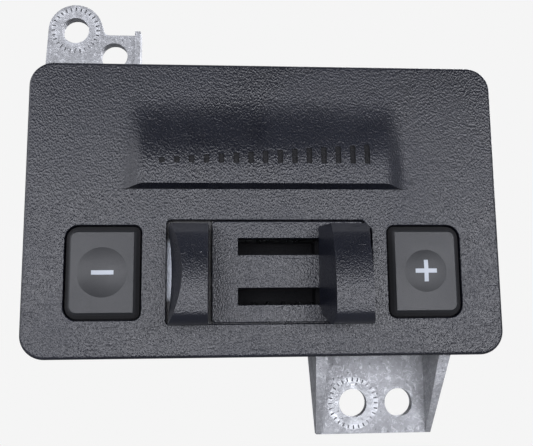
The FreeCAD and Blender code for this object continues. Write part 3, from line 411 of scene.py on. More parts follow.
def arc_through(a, b, c, steps):
    """Points from a to c on the circle through b, without a itself."""
    ax, ay, bx, by, cx, cy = *a, *b, *c
    d = 2 * (ax * (by - cy) + bx * (cy - ay) + cx * (ay - by))
    sa, sb, sc = ax * ax + ay * ay, bx * bx + by * by, cx * cx + cy * cy
    ox = (sa * (by - cy) + sb * (cy - ay) + sc * (ay - by)) / d
    oy = (sa * (cx - bx) + sb * (ax - cx) + sc * (bx - ax)) / d
    start, middle, end = (math.atan2(y - oy, x - ox) for x, y in (a, b, c))
    turn = (end - start) % (2 * math.pi)
    if (middle - start) % (2 * math.pi) > turn:
        turn -= 2 * math.pi
    radius = math.hypot(ax - ox, ay - oy)
    angles = [start + turn * (i + 1) / steps for i in range(steps)]
    return [(ox + radius * math.cos(t), oy + radius * math.sin(t)) for t in angles]


# ---------------------------------------------------------------- faceplate
def hood_height(size, x, z):
    """How far the hood stands out of the face at a point of its footprint."""
    proud = size.face_front - FACE_LOW.y
    lip = lip_height(size, x)
    rise = (z - lip - size.hood_level) / (size.hood_top - lip - size.hood_level)
    side = 1 - ease((abs(x) - size.hood_half) / size.hood_fade)
    return proud * side * (1 - ease(rise))


def lip_height(size, x):
    """Height of the lip's edge, which falls to the root line at both ends."""
    fall = ease((abs(x) - size.hood_half) / (0.8 * size.hood_fade))
    return size.hood_root + size.hood_lip * (1 - 0.97 * fall)


def in_hood(size, co):
    """True for a point over the hood's footprint."""
    slack = 0.001 * MM
    reach = size.hood_half + size.hood_fade + slack
    return abs(co.x) < reach and size.hood_root - slack < co.z < size.hood_top + slack


def raise_hood(piece, size):
    """Draws the hood out of the face, with its footprint cut into rows and columns that follow its curves."""
    reach = size.hood_half + size.hood_fade
    front = lambda f: in_plane_y(f, size.face_front)
    slice_levels(piece, front, (-reach, reach), 0)
    slice_levels(piece, front, (size.hood_root, size.hood_top), 2)
    footprint = lambda f: front(f) and in_hood(size, f.calc_center_median())
    steps = [size.hood_half + size.hood_fade * i / HOOD_COLUMNS for i in range(HOOD_COLUMNS)]
    slice_levels(piece, footprint, [side * step for step in steps for side in (-1, 1)], 0)
    lip = size.hood_root + size.hood_lip
    rows = [lip + (size.hood_top - lip) * i / HOOD_ROWS for i in range(HOOD_ROWS)]
    slice_levels(piece, footprint, rows, 2)
    with editing(piece, "VERT", lambda v: near(v.co.y, size.face_front) and in_hood(size, v.co)):
        mesh = bmesh.from_edit_mesh(piece.data)
        for vert in mesh.verts:
            if not vert.select or near(vert.co.z, size.hood_root):
                continue
            if near(abs(vert.co.x), reach) or near(vert.co.z, size.hood_top):
                continue
            share = (vert.co.z - lip) / (size.hood_top - lip)
            edge = lip_height(size, vert.co.x)
            vert.co.z = edge + share * (size.hood_top - edge)
            vert.co.y = size.face_front - hood_height(size, vert.co.x, vert.co.z)
        bmesh.update_edit_mesh(piece.data)
    bevel(piece, lambda e: is_lip(size, e), 0.22 * MM, 3)


def is_lip(size, edge):
    """True for an edge along the hood's lip."""
    a, b = edge.verts[0].co, edge.verts[1].co
    on_edge = all(near(v.z, lip_height(size, v.x), 0.02 * MM) for v in (a, b))
    return on_edge and abs(a.x - b.x) > 0.2 * MM and fold(edge) > math.radians(40)


def button_outline(size, side, inset):
    """Low and high X, low and high Z, and the four corner radii of a button's opening, set in by a gap."""
    x = side * size.button_x
    half_w, half_h = size.button_width / 2 - inset, size.button_height / 2 - inset
    outer, inner = size.button_outer_radius - inset, size.button_inner_radius - inset
    radii = (inner, outer, outer, inner) if side > 0 else (outer, inner, inner, outer)
    return x - half_w, x + half_w, size.button_z - half_h, size.button_z + half_h, radii


def slab_tool(outline, front, back):
    """A cutting block with an opening's outline, between two depths."""
    x0, x1, z0, z1, radii = outline
    return add_slab("tool", (x0, front, z0), (x1, back, z1), radii)


def cut_corner_slab(name, size, low, high):
    """The panel's outline: small corners on the left and cut corners on the right."""
    slab = add_block(name, low, high)
    for z in (low[2], high[2]):
        round_corner(slab, low[0], z, size.panel_corner, 5)
        round_corner(slab, high[0], z, size.panel_chamfer, 1)
    return slab


def cut_openings(piece, size):
    """The two button openings and the slider's opening."""
    front, back = size.face_front - 5 * MM, size.face_front + size.face_wall + MM
    for side in (-1, 1):
        combine(piece, slab_tool(button_outline(size, side, 0.0), front, back), "DIFFERENCE")
    flange = 1.4 * MM
    rest_low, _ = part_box("rest_plate")
    low = (rest_low.x + flange, front, PANEL_LOW.z + flange)
    high = (PANEL_HIGH.x - flange, back, PANEL_HIGH.z - flange)
    combine(piece, cut_corner_slab("tool", size, low, high), "DIFFERENCE")


def opening_edge(size, edge):
    """An edge in the face plane with an opening's wall on one side."""
    if not in_plane_y(edge, size.face_front) or fold(edge) < math.radians(60):
        return False
    middle = (edge.verts[0].co + edge.verts[1].co) / 2
    return middle.z < size.hood_root - MM and abs(middle.x) < FACE_HIGH.x - 2 * MM


def engrave_scale(piece, size):
    """A row of bars that grow from left to right, sunk square into the hood's slope."""
    pitch = (size.bar_span - size.bar_width) / (size.bar_count - 1)
    bars = []
    for i in range(size.bar_count):
        left = -size.bar_span / 2 + i * pitch
        top = size.bar_foot + size.bar_low + (size.bar_high - size.bar_low) * i / (size.bar_count - 1)
        low = (left, FACE_LOW.y - MM, size.bar_foot)
        bar = add_block("bar", low, (left + size.bar_width, 0.0, top))
        with editing(bar, "VERT", lambda v: near(v.co.y, 0.0)):
            mesh = bmesh.from_edit_mesh(bar.data)
            for vert in mesh.verts:
                if vert.select:
                    vert.co.y = size.face_front - hood_height(size, 0.0, vert.co.z) + size.bar_depth
            bmesh.update_edit_mesh(bar.data)
        bevel(bar, along_y, 0.3 * MM, 3)
        bars.append(bar)
    combine(piece, join_pieces(bars, "bars"), "DIFFERENCE")


def in_scale(size, co):
    """True on the floors of the engraved bars, where shade is painted in."""
    if abs(co.x) > size.bar_span / 2 + 0.1 * MM or abs(co.z - size.bar_foot) > size.bar_high + 0.1 * MM:
        return False
    sunk = co.y - (size.face_front - hood_height(size, 0.0, co.z))
    return 0.5 * size.bar_depth < sunk < 1.5 * size.bar_depth


def add_bosses(piece, size):
    """Screw bosses on the inside of the face, for the housing and for the inner chassis."""
    inside = size.face_front + size.face_wall
    _, screw_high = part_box("case_screws")
    head = 1.9 * 1.5 * MM
    x, z = screw_high.x - head, screw_high.z - head
    spots = [(sx * x, sz * z, 2.9 * MM, 1.5 * MM, FACE_HIGH.y) for sx in (-1, 1) for sz in (-1, 1)]
    low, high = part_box("chassis_screws")
    head = 1.9 * MM
    chassis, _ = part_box("inner_chassis")
    for cx, cz in ((high.x - head, high.z - head), (18.0 * MM, low.z + head)):
        spots += [(s * cx, cz, 2.0 * MM, 1.0 * MM, chassis.y) for s in (-1, 1)]
    root, floor = inside - 0.3 * MM, inside + 0.6 * MM
    bosses = [add_rod_y("boss", wide, x, z, root, back, 32) for x, z, wide, _, back in spots]
    combine(piece, join_pieces(bosses, "bosses"), "UNION")
    holes = [add_rod_y("hole", bore, x, z, floor, back + MM, 24) for x, z, _, bore, back in spots]
    combine(piece, join_pieces(holes, "holes"), "DIFFERENCE")


class BRAKE_OT_front_bezel(bpy.types.Operator):
    """Model the faceplate with its hood, engraved scale, openings and bosses"""

    bl_idname = "brake.front_bezel"
    bl_label = "Faceplate"

    def execute(self, context):
        size = context.scene.brake_sizes
        low = (FACE_LOW.x, size.face_front, FACE_LOW.z)
        plate = add_block("faceplate", low, (FACE_HIGH.x, 0.0, FACE_HIGH.z))
        bevel(plate, along_y, size.corner_radius, 16)
        bevel(plate, lambda e: in_plane_y(e, size.face_front), size.edge_radius, 5)
        with editing(plate, "FACE", lambda f: in_plane_y(f, 0.0)):
            bpy.ops.mesh.inset(thickness=size.face_wall, depth=0.0)
            depth = -size.face_front - size.face_wall
            bpy.ops.mesh.extrude_region_move(TRANSFORM_OT_translate={"value": (0, -depth, 0)})
        raise_hood(plate, size)
        add_bosses(plate, size)
        cut_openings(plate, size)
        bevel(plate, lambda e: opening_edge(size, e), size.opening_edge, 3)
        engrave_scale(plate, size)
        # Painted shade: the floors of the engraved bars are painted near black.
        paint(plate, "painted_shade", lambda co: 1.0 if in_scale(size, co) else 0.0)
        complete(plate, "front_bezel", "grained_black", 32)
        return {"FINISHED"}


# ---------------------------------------------------------------- slider
class BRAKE_OT_slider_panel(bpy.types.Operator):
    """Model the panel with the two slots that the lever runs in"""

    bl_idname = "brake.slider_panel"
    bl_label = "Slider panel"

    def execute(self, context):
        size = context.scene.brake_sizes
        margin = size.panel_margin
        low = (PANEL_LOW.x, size.face_front, PANEL_LOW.z + margin)
        high = (size.panel_right, PANEL_HIGH.y - 1.6 * MM, PANEL_HIGH.z - margin)
        panel = cut_corner_slab("panel", size, low, high)
        bevel(panel, lambda e: in_plane_y(e, size.face_front), size.opening_edge, 3)
        flange = add_block("flange", (PANEL_LOW.x, PANEL_HIGH.y - 1.7 * MM, PANEL_LOW.z), PANEL_HIGH)
        combine(panel, flange, "UNION")
        for side in (-1, 1):
            middle = size.slider_z + side * size.slot_pitch / 2
            z0, z1 = middle - size.slot_height / 2, middle + size.slot_height / 2
            slot = add_block("slot", (size.slot_left, -9 * MM, z0), (size.slot_right, 0.0, z1))
            combine(panel, slot, "DIFFERENCE")
        bevel(panel, lambda e: slot_rim(size, e), 0.15 * MM, 2)
        complete(panel, "slider_panel", "grained_black", 32)
        return {"FINISHED"}


def slot_rim(size, edge):
    """An edge of a slot's mouth in the face plane."""
    if not in_plane_y(edge, size.face_front) or fold(edge) < math.radians(60):
        return False
    middle = (edge.verts[0].co + edge.verts[1].co) / 2
    reach = (size.slot_pitch + size.slot_height) / 2 + 0.1 * MM
    return abs(middle.z - size.slider_z) < reach and middle.x > size.slot_left - 0.1 * MM


def grip_outline(size, low, high):
    """The side view of a grip: it swells downwards and tucks back under its nose. Points are (y, z)."""
    base = size.face_front - GRIP_SINK
    proud = size.face_front - low.y
    top, bottom = high.z, low.z
    out = lambda share: size.face_front - share * proud
    shoulder, brow = (out(0.50), top), (out(0.64), top - 1.9 * MM)
    belly, nose = (out(0.949), top - 12.0 * MM), (out(0.99), bottom + 4.2 * MM)
    chin, under = (out(0.92), bottom + 1.3 * MM), (out(0.70), bottom)
    throat, heel = (out(0.25), (bottom + size.grip_heel) / 2), (base, size.grip_heel)
    points = [(base, top), shoulder, brow]
    points += arc_through(brow, belly, nose, STEPS_TO_NOSE - 3)
    points += arc_through(nose, chin, under, 8)
    points += arc_through(under, throat, heel, 8)
    return points


def add_grip(name, size, low, high):
    """A straight bar with the grip's side view, whose two sides are cut into level strips."""
    points = grip_outline(size, low, high)
    leave_edit()
    bpy.ops.mesh.primitive_circle_add(vertices=len(points), radius=0.01, fill_type="NGON")
    grip = settle(name)
    for vert, (y, z) in zip(grip.data.vertices, points):
        vert.co = (low.x, y, z)
    with editing(grip, "FACE", lambda f: True):
        bpy.ops.mesh.extrude_region_move(TRANSFORM_OT_translate={"value": (high.x - low.x, 0, 0)})
    merge(grip)
    levels = [z for _, z in points[2:STEPS_TO_NOSE]]
    slice_levels(grip, lambda f: abs(f.normal.x) > 0.5, levels, 2)
    merge(grip, 0.1 * MM)
    return grip


def face_depth(points, z):
    """Y of the grip's face at a height; below the nose it is the nose's own."""
    face = points[1:STEPS_TO_NOSE]
    for (y0, z0), (y1, z1) in zip(face, face[1:]):
        if z1 <= z <= z0:
            return y0 + (y1 - y0) * (z0 - z) / max(z0 - z1, 1e-9)
    return face[-1][0]


def lean_sides(piece, size, low, high, left_lean, right_lean, bows=(0.0, 0.0)):
    """Leans a grip's sides in towards its face, and hollows the left side by a bow at root and face."""
    points = grip_outline(size, low, high)
    middle_x = (low.x + high.x) / 2
    middle_z, half = (low.z + high.z) / 2, (high.z - low.z) / 2
    for vert in piece.data.vertices:
        out = size.face_front - vert.co.y
        share = min(out / (size.face_front - face_depth(points, vert.co.z)), 1.0)
        if vert.co.x < middle_x:
            bow = bows[0] + (bows[1] - bows[0]) * share
            hollow = bow * (1 - ((vert.co.z - middle_z) / half) ** 2)
            vert.co.x += left_lean * share + hollow
        else:
            vert.co.x -= right_lean * share


def soften_grip(piece, size, base):
    """Rolls every edge of a grip but those against the panel."""
    bevel(
        piece,
        lambda e: fold(e) > math.radians(28) and not any(near(v.co.y, base) for v in e.verts),
        size.grip_edge,
        5,
    )


def grain_front(size, co, low, high):
    """Full grain on a grip's face between its brow and its nose, none on its sides, top and underside."""
    points = grip_outline(size, low, high)
    behind = co.y - face_depth(points, co.z)
    inside = ease((high.z - 2.4 * MM - co.z) / MM) * ease((co.z - low.z - 1.6 * MM) / MM)
    return inside * ease((0.5 * MM - behind) / (0.35 * MM))


class BRAKE_OT_slide_lever(bpy.types.Operator):
    """Model the sliding lever with its two legs"""

    bl_idname = "brake.slide_lever"
    bl_label = "Slide lever"

    def execute(self, context):
        size = context.scene.brake_sizes
        base = size.face_front - GRIP_SINK
        lever = add_grip("lever", size, LEVER_LOW, LEVER_HIGH)
        lean_sides(lever, size, LEVER_LOW, LEVER_HIGH, size.grip_draft, size.grip_draft)
        soften_grip(lever, size, base)
        half = size.leg_height / 2
        for side in (-1, 1):
            z = size.slider_z + side * size.slot_pitch / 2
            leg_low = (size.leg_left, base - 0.5 * MM, z - half)
            leg = add_block("leg", leg_low, (size.leg_right, 0.0, z + half))
            combine(lever, leg, "UNION")
            x = (size.leg_left + size.leg_right) / 2
            combine(lever, add_rod_y("bore", MM, x, z, -5 * MM, MM, 24), "DIFFERENCE")
        merge(lever)
        paint(lever, "grained", lambda co: grain_front(size, co, LEVER_LOW, LEVER_HIGH))
        complete(lever, "slide_lever", "grip_black", 30)
        return {"FINISHED"}


class BRAKE_OT_thumb_rest(bpy.types.Operator):
    """Model the fixed thumb rest with its hollow outer side"""

    bl_idname = "brake.thumb_rest"
    bl_label = "Thumb rest"

    def execute(self, context):
        size = context.scene.brake_sizes
        base = size.face_front - GRIP_SINK
        low = Vector((REST_HIGH.x - size.rest_width, REST_LOW.y, REST_LOW.z))
        rest = add_grip("rest", size, low, REST_HIGH)
        bows = (size.rest_bow, size.rest_face_bow)
        lean_sides(rest, size, low, REST_HIGH, size.rest_draft, 0.0, bows)
        soften_grip(rest, size, base)
        stem_low = (low.x + size.rest_bow + 1.8 * MM, base - 0.5 * MM, size.grip_heel + MM)
        stem = add_block("stem", stem_low, (REST_HIGH.x, REST_HIGH.y, REST_HIGH.z - MM))
        combine(rest, stem, "UNION")
        merge(rest)
        paint(rest, "grained", lambda co: grain_front(size, co, low, REST_HIGH))
        complete(rest, "thumb_rest", "grip_black", 30)
        return {"FINISHED"}


class BRAKE_OT_return_spring(bpy.types.Operator):
    """Wind the return spring on the lower guide rod"""

    bl_idname = "brake.return_spring"
    bl_label = "Return spring"

    def execute(self, context):
        size = context.scene.brake_sizes
        low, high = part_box("lever_return_spring")
        axis_y, axis_z = (low.y + high.y) / 2, (low.z + high.z) / 2
        room = high.x - low.x - size.spring_wire
        leave_edit()
        bpy.ops.mesh.primitive_circle_add(
            vertices=10, radius=size.spring_wire / 2, location=(0, 0, size.spring_radius)
        )
        spring = settle("spring")
        only(spring)
        wind = spring.modifiers.new("wind", "SCREW")
        wind.axis = "X"
        wind.angle = 2 * math.pi * size.spring_turns
        wind.screw_offset = room
        wind.steps = 28 * size.spring_turns
        wind.render_steps = wind.steps
        bpy.ops.object.modifier_apply(modifier=wind.name)
        with editing(spring, "EDGE", lambda e: e.is_boundary):
            bpy.ops.mesh.edge_face_add()
        spring.data.transform(Matrix.Translation((low.x + size.spring_wire / 2, axis_y, axis_z)))
        complete(spring, "lever_return_spring", "spring_steel", 50)
        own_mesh(spring)
        return {"FINISHED"}


# ---------------------------------------------------------------- buttons
def border_edge(edge):
    """An edge round a cap's sloped border."""
    a, b = edge.verts[0].co, edge.verts[1].co
    level = near(a.y, b.y) and not along_y(edge)
    return level and a.y < -5 * MM and math.radians(25) < fold(edge) < math.radians(60)


def add_cap(size, side):
    """A button cap with its sloped border, retaining flange and hollow back, and its place and depths."""
    x = side * size.button_x
    front = size.face_front - size.button_proud
    flange_front = size.face_front + size.face_wall + 0.2 * MM
    back = flange_front + 1.2 * MM
    x0, x1, z0, z1, radii = button_outline(size, side, size.button_gap)
    cap = add_slab("cap", (x0, front, z0), (x1, back, z1), radii)
    bevel(cap, lambda e: in_plane_y(e, front), size.button_bevel, 1)
    bevel(cap, border_edge, 0.3 * MM, 3)
    wall = 1.6 * MM + size.button_bevel / 2
    hollow_front = front + size.dish_depth + 1.6 * MM
    inner_high = (x1 - wall, back + MM, z1 - wall)
    hollow = add_slab("hollow", (x0 + wall, hollow_front, z0 + wall), inner_high, (MM,) * 4)
    combine(cap, hollow, "DIFFERENCE")
    reach = 1.1 * MM
    rim_low, rim_high = (x0 - reach, flange_front, z0 - reach), (x1 + reach, back, z1 + reach)
    rim = add_slab("rim", rim_low, rim_high, (size.button_inner_radius,) * 4)
    hole = add_slab("hole", (x0 + wall, flange_front - MM, z0 + wall), inner_high, (MM,) * 4)
    combine(rim, hole, "DIFFERENCE")
    combine(cap, rim, "UNION")
    return cap, x, front, hollow_front


def add_posts(cap, size, x, root, node):
    """The guide post above, the pusher below, and the wall round the sign's light guide."""
    _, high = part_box(node)
    middle, start = size.button_z, root - 0.2 * MM
    posts = [
        add_rod_y("guide", POST_RADIUS, x, middle + POST_OFFSET, start, CHASSIS_BACK, 28),
        add_rod_y("pusher", POST_RADIUS, x, middle - POST_OFFSET, start, high.y, 28),
        add_rod_y("light_wall", LIGHT_WALL_RADIUS, x, middle, start, root + 2 * MM, 40),
    ]
    combine(cap, join_pieces(posts, "posts"), "UNION")


def add_ball(name, radius, x, y, z):
    """A fine ball for the shallow dish and dome of the caps."""
    leave_edit()
    bpy.ops.mesh.primitive_uv_sphere_add(segments=160, ring_count=120, radius=radius, location=(x, y, z))
    return settle(name)


def cut_sign(cap, size, side, x, front):
    """The opening for the sign, which its light legend fills."""
    half, thin = (SIGN_HIGH.x - SIGN_LOW.x) / 2, (SIGN_HIGH.z - SIGN_LOW.z) / 2
    y0, y1 = front - 2 * MM, front + 4.5 * MM
    sign = add_block("sign", (x - half, y0, size.button_z - thin), (x + half, y1, size.button_z + thin))
    if side > 0:
        upright_high = (x + thin, y1, size.button_z + half)
        upright = add_block("sign", (x - thin, y0, size.button_z - half), upright_high)
        combine(sign, upright, "UNION")
    combine(cap, sign, "DIFFERENCE")


def is_border(size, co, x, front):
    """One on a cap's sloped border and sides, where shade is painted in, zero on its face."""
    across = abs(co.x - x) / (size.button_width / 2)
    along = abs(co.z - size.button_z) / (size.button_height / 2)
    return 1.0 if max(across, along) > 0.74 and co.y > front + 0.12 * MM else 0.0


class BRAKE_OT_buttons(bpy.types.Operator):
    """Model the dished minus cap and the domed plus cap"""

    bl_idname = "brake.buttons"
    bl_label = "Buttons"

    def execute(self, context):
        size = context.scene.brake_sizes
        for side, node in ((-1, "minus_button"), (1, "plus_button")):
            cap, x, front, root = add_cap(size, side)
            add_posts(cap, size, x, root, node)
            if side < 0:
                deep, wide = size.dish_depth, size.dish_radius
                radius = (wide**2 + deep**2) / (2 * deep)
                ball = add_ball("dish", radius, x, front + deep - radius, size.button_z)
                combine(cap, ball, "DIFFERENCE")
            else:
                high, wide = size.dome_height, size.dome_radius
                radius = (wide**2 + high**2) / (2 * high)
                ball = add_ball("dome", radius, x, front - high + radius, size.button_z)
                core_front, core_back = front - high - MM, front + 0.02 * MM
                core = add_rod_y("core", wide + MM, x, size.button_z, core_front, core_back, 96)
                combine(ball, core, "INTERSECT")
                combine(cap, ball, "UNION")
            cut_sign(cap, size, side, x, front)
            cap.name = node + "_cap"
            # Painted shade: the cap's sloped border and sides are painted near black.
            paint(cap, "painted_shade", lambda co: is_border(size, co, x, front))
            complete(cap, node, "button_black", 9)
        return {"FINISHED"}


# ---------------------------------------------------------------- softened copies of frame nodes
def soft_copy(node, name, width, degrees, segments=2):
    """A merged copy of a frame node whose edges are rolled."""
    piece = NODES[node].copy()
    piece.data = NODES[node].data.copy()
    bpy.context.scene.collection.objects.link(piece)
    piece.parent = None
    for key in list(piece.keys()):
        del piece[key]
    piece.name = name
    piece.data.name = name
    only(piece)
    bpy.ops.mesh.customdata_custom_splitnormals_clear()
    with editing(piece, "VERT", lambda v: True):
        bpy.ops.mesh.remove_doubles(threshold=0.002 * MM)
        bpy.ops.mesh.dissolve_limited(angle_limit=math.radians(1.0), delimit={"NORMAL"})
    step = piece.modifiers.new("roll", "BEVEL")
    step.width = width
    step.segments = segments
    step.limit_method = "ANGLE"
    step.angle_limit = math.radians(degrees)
    step.use_clamp_overlap = True
    step.miter_outer = "MITER_ARC"
    only(piece)
    bpy.ops.object.modifier_apply(modifier=step.name)
    return piece


SOFT_COPIES = (
    ("connector_shell", "connector_black"),
    ("inner_chassis", "inner_black"),
    ("slider_frame", "inner_black"),
    ("lever_carriage", "inner_black"),
    ("rest_plate", "zinc_plate"),
    ("case_screws", "screw_steel"),
)


class BRAKE_OT_soft_copies(bpy.types.Operator):
    """Roll the edges of the plain mouldings, the bright plate and the screws"""

    bl_idname = "brake.soft_copies"
    bl_label = "Mouldings, plate and screws"

    def execute(self, context):
        size = context.scene.brake_sizes
        for node, finish in SOFT_COPIES:
            piece = soft_copy(node, node + "_finished", size.moulding_edge, 40)
            complete(piece, node, finish, 35)
        return {"FINISHED"}


# ---------------------------------------------------------------- casting
def press_teeth(piece, size, x, z, front):
    """The ring of radial marks that a toothed washer leaves round a bolt hole."""
    teeth = []
    inner = size.seat_radius - size.tooth_length
    for i in range(size.teeth):
        turn = 2 * math.pi * i / size.teeth
        tooth = add_block(
            "tooth",
            (inner, front - MM, -size.tooth_width / 2),
            (size.seat_radius, front + size.tooth_depth, size.tooth_width / 2),
        )
        tooth.data.transform(Matrix.Rotation(-turn, 4, "Y"))
        tooth.data.transform(Matrix.Translation((x, 0, z)))
        teeth.append(tooth)
    combine(piece, join_pieces(teeth, "teeth"), "DIFFERENCE")


class BRAKE_OT_rear_housing(bpy.types.Operator):
    """Finish the die-cast housing: rolled edges and washer marks round its bolt holes"""

    bl_idname = "brake.rear_housing"
    bl_label = "Rear housing"

    def execute(self, context):
        size = context.scene.brake_sizes
        housing = soft_copy("rear_housing", "casting", size.housing_edge, 50)
        for x, z in BOLT_SEATS:
            press_teeth(housing, size, x, z, SEAT_Y)
        complete(housing, "rear_housing", "die_cast_metal", 35)
        return {"FINISHED"}


# ---------------------------------------------------------------- material helpers
def place(tree, kind, **settings):
    """A node with its settings; one that isn't a property of the node is an input, with _ for a space."""
    node = tree.nodes.new("ShaderNode" + kind)
    for key, value in settings.items():
        if hasattr(node, key):
            setattr(node, key, value)
        else:
            node.inputs[key.replace("_", " ")].default_value = value
    return node


def maths(tree, operation, a, b=None, clamp=False):
    """A sum of two values; each is a number or another node's output."""
    node = place(tree, "Math", operation=operation, use_clamp=clamp)
    for socket, value in zip(node.inputs, (a, b)):
        if value is None:
            continue
        if isinstance(value, (int, float)):
            socket.default_value = value
        else:
            tree.links.new(value, socket)
    return node.outputs[0]


def span(tree, value, low, high, to_low=0.0, to_high=1.0):
    """Maps a value from one range onto another, held at its ends."""
    node = place(tree, "MapRange", clamp=True)
    tree.links.new(value, node.inputs["Value"])
    for name, number in (("From Min", low), ("From Max", high), ("To Min", to_low), ("To Max", to_high)):
        node.inputs[name].default_value = number
    return node.outputs["Result"]


def tint(tree, factor, a, b):
    """Mixes two colours; each is a colour or an output."""
    node = tree.nodes.new("ShaderNodeMix")
    node.data_type = "RGBA"
    tree.links.new(factor, node.inputs["Factor"])
    for name, value in (("A", a), ("B", b)):
        socket = [s for s in node.inputs if s.name == name and s.type == "RGBA"][0]
        if isinstance(value, (tuple, list)):
            socket.default_value = (*value[:3], 1.0)
        else:
            tree.links.new(value, socket)
    return [s for s in node.outputs if s.type == "RGBA"][0]


def new_group(name, inputs, outputs):
    """An empty node group with float inputs, given with their defaults, and named outputs."""
    group = bpy.data.node_groups.new(name, "ShaderNodeTree")
    for title, default in inputs:
        socket = group.interface.new_socket(title, in_out="INPUT", socket_type="NodeSocketFloat")
        socket.default_value = default
    for title in outputs:
        group.interface.new_socket(title, in_out="OUTPUT", socket_type="NodeSocketFloat")
    return group, group.nodes.new("NodeGroupInput"), group.nodes.new("NodeGroupOutput")


def part_place(tree, scale=(1, 1, 1), turn=(0, 0, 0)):
    """Object coordinates, turned and stretched, so that a pattern keeps its place on the piece."""
    here = place(tree, "TexCoord")
    spread = place(tree, "Mapping")
    spread.inputs["Rotation"].default_value = turn
    spread.inputs["Scale"].default_value = scale
    tree.links.new(here.outputs["Object"], spread.inputs["Vector"])
    return spread.outputs["Vector"]


def grain_group():
    """Leather-like moulded grain: cells with soft valleys, drawn out along a diagonal."""
    name = "Moulded grain"
    if name in bpy.data.node_groups:
        return bpy.data.node_groups[name]
    group, given, result = new_group(name, (("Cells", 1500.0), ("Fine", 0.35)), ("Height", "Valley"))
    where = part_place(group, scale=(1.0, 1.0, 0.7), turn=(0, math.radians(-32), 0))
    warp = place(group, "TexNoise", Detail=2.0, Scale=1300.0)
    group.links.new(where, warp.inputs["Vector"])
    shift = place(group, "VectorMath", operation="MULTIPLY_ADD")
    shift.inputs[1].default_value = (0.0003,) * 3
    group.links.new(warp.outputs["Color"], shift.inputs[0])
    group.links.new(where, shift.inputs[2])
    cells = place(group, "TexVoronoi", feature="SMOOTH_F1", Smoothness=0.6)
    group.links.new(shift.outputs[0], cells.inputs["Vector"])
    group.links.new(given.outputs["Cells"], cells.inputs["Scale"])
    fine = place(group, "TexNoise", Detail=3.0, Roughness=0.6)
    group.links.new(where, fine.inputs["Vector"])
    group.links.new(maths(group, "MULTIPLY", given.outputs["Cells"], 1.7), fine.inputs["Scale"])
    hills = maths(group, "SUBTRACT", 1.0, cells.outputs["Distance"])
    fine_hills = maths(group, "MULTIPLY", fine.outputs["Fac"], given.outputs["Fine"])
    height = maths(group, "ADD", hills, fine_hills)
    group.links.new(height, result.inputs["Height"])
    group.links.new(span(group, cells.outputs["Distance"], 0.35, 0.8), result.inputs["Valley"])
    return group


def handling_group():
    """Signs of use: broad smudges, a few specks of dust and faint scratches."""
    name = "Handling"
    if name in bpy.data.node_groups:
        return bpy.data.node_groups[name]
    group, given, result = new_group(name, (("Specks", 0.5),), ("Smudge", "Dust", "Scratch"))
    where = part_place(group)
    smudge = place(group, "TexNoise", Scale=38.0, Detail=4.0, Roughness=0.55, Distortion=0.6)
    group.links.new(where, smudge.inputs["Vector"])
    group.links.new(span(group, smudge.outputs["Fac"], 0.35, 0.7), result.inputs["Smudge"])
    specks = place(group, "TexVoronoi", Scale=240.0, Randomness=1.0)
    group.links.new(where, specks.inputs["Vector"])
    lot = place(group, "SeparateColor")
    group.links.new(specks.outputs["Color"], lot.inputs["Color"])
    share = maths(group, "MULTIPLY", given.outputs["Specks"], 0.05)
    chosen = maths(group, "LESS_THAN", lot.outputs[0], share)
    dot = maths(group, "LESS_THAN", specks.outputs["Distance"], 0.045)
    group.links.new(maths(group, "MULTIPLY", chosen, dot), result.inputs["Dust"])
    streak = place(group, "TexNoise", Scale=120.0, Detail=1.0)
    group.links.new(part_place(group, scale=(1, 1, 14), turn=(0, 0.9, 0)), streak.inputs["Vector"])
    group.links.new(span(group, streak.outputs["Fac"], 0.71, 0.76), result.inputs["Scratch"])
    return group


def cast_group():
    """Die-cast skin: cloudy patches, cold-flow swirls, bright flecks, fine pits and a sandy surface."""
    name = "Cast skin"
    if name in bpy.data.node_groups:
        return bpy.data.node_groups[name]
    group, given, result = new_group(name, (("Scale", 1.0),), ("Cloud", "Swirl", "Fleck", "Pit", "Height"))
    where = part_place(group)
    scaled = place(group, "VectorMath", operation="SCALE")
    group.links.new(where, scaled.inputs[0])
    group.links.new(given.outputs["Scale"], scaled.inputs["Scale"])
    cloud = place(group, "TexNoise", Scale=190.0, Detail=6.0, Roughness=0.62, Distortion=0.8)
    swirl = place(group, "TexNoise", Scale=70.0, Detail=5.0, Roughness=0.7, Distortion=3.0)
    sand = place(group, "TexNoise", Scale=1500.0, Detail=3.0, Roughness=0.7)
    fleck = place(group, "TexNoise", Scale=620.0, Detail=4.0, Roughness=0.75, Distortion=1.2)
    pits = place(group, "TexVoronoi", Scale=620.0, Randomness=1.0)
    for node in (cloud, swirl, sand, fleck, pits):
        group.links.new(scaled.outputs[0], node.inputs["Vector"])
    pit = span(group, pits.outputs["Distance"], 0.06, 0.16, 1.0, 0.0)
    group.links.new(span(group, cloud.outputs["Fac"], 0.3, 0.7), result.inputs["Cloud"])
    group.links.new(span(group, swirl.outputs["Fac"], 0.35, 0.68), result.inputs["Swirl"])
    group.links.new(span(group, fleck.outputs["Fac"], 0.5, 0.66), result.inputs["Fleck"])
    group.links.new(pit, result.inputs["Pit"])
    rough = maths(group, "ADD", maths(group, "MULTIPLY", sand.outputs["Fac"], 0.6), cloud.outputs["Fac"])
    height = maths(group, "SUBTRACT", rough, maths(group, "MULTIPLY", pit, 0.5))
    group.links.new(height, result.inputs["Height"])
    return group


def separate_place(tree):
    """Object coordinates as X, Y and Z."""
    split = place(tree, "SeparateXYZ")
    tree.links.new(place(tree, "TexCoord").outputs["Object"], split.inputs[0])
    return split.outputs


def use(tree, group, **values):
    """Puts a node group in a material with its own values."""
    node = tree.nodes.new("ShaderNodeGroup")
    node.node_tree = group
    for key, value in values.items():
        node.inputs[key].default_value = value
    return node.outputs


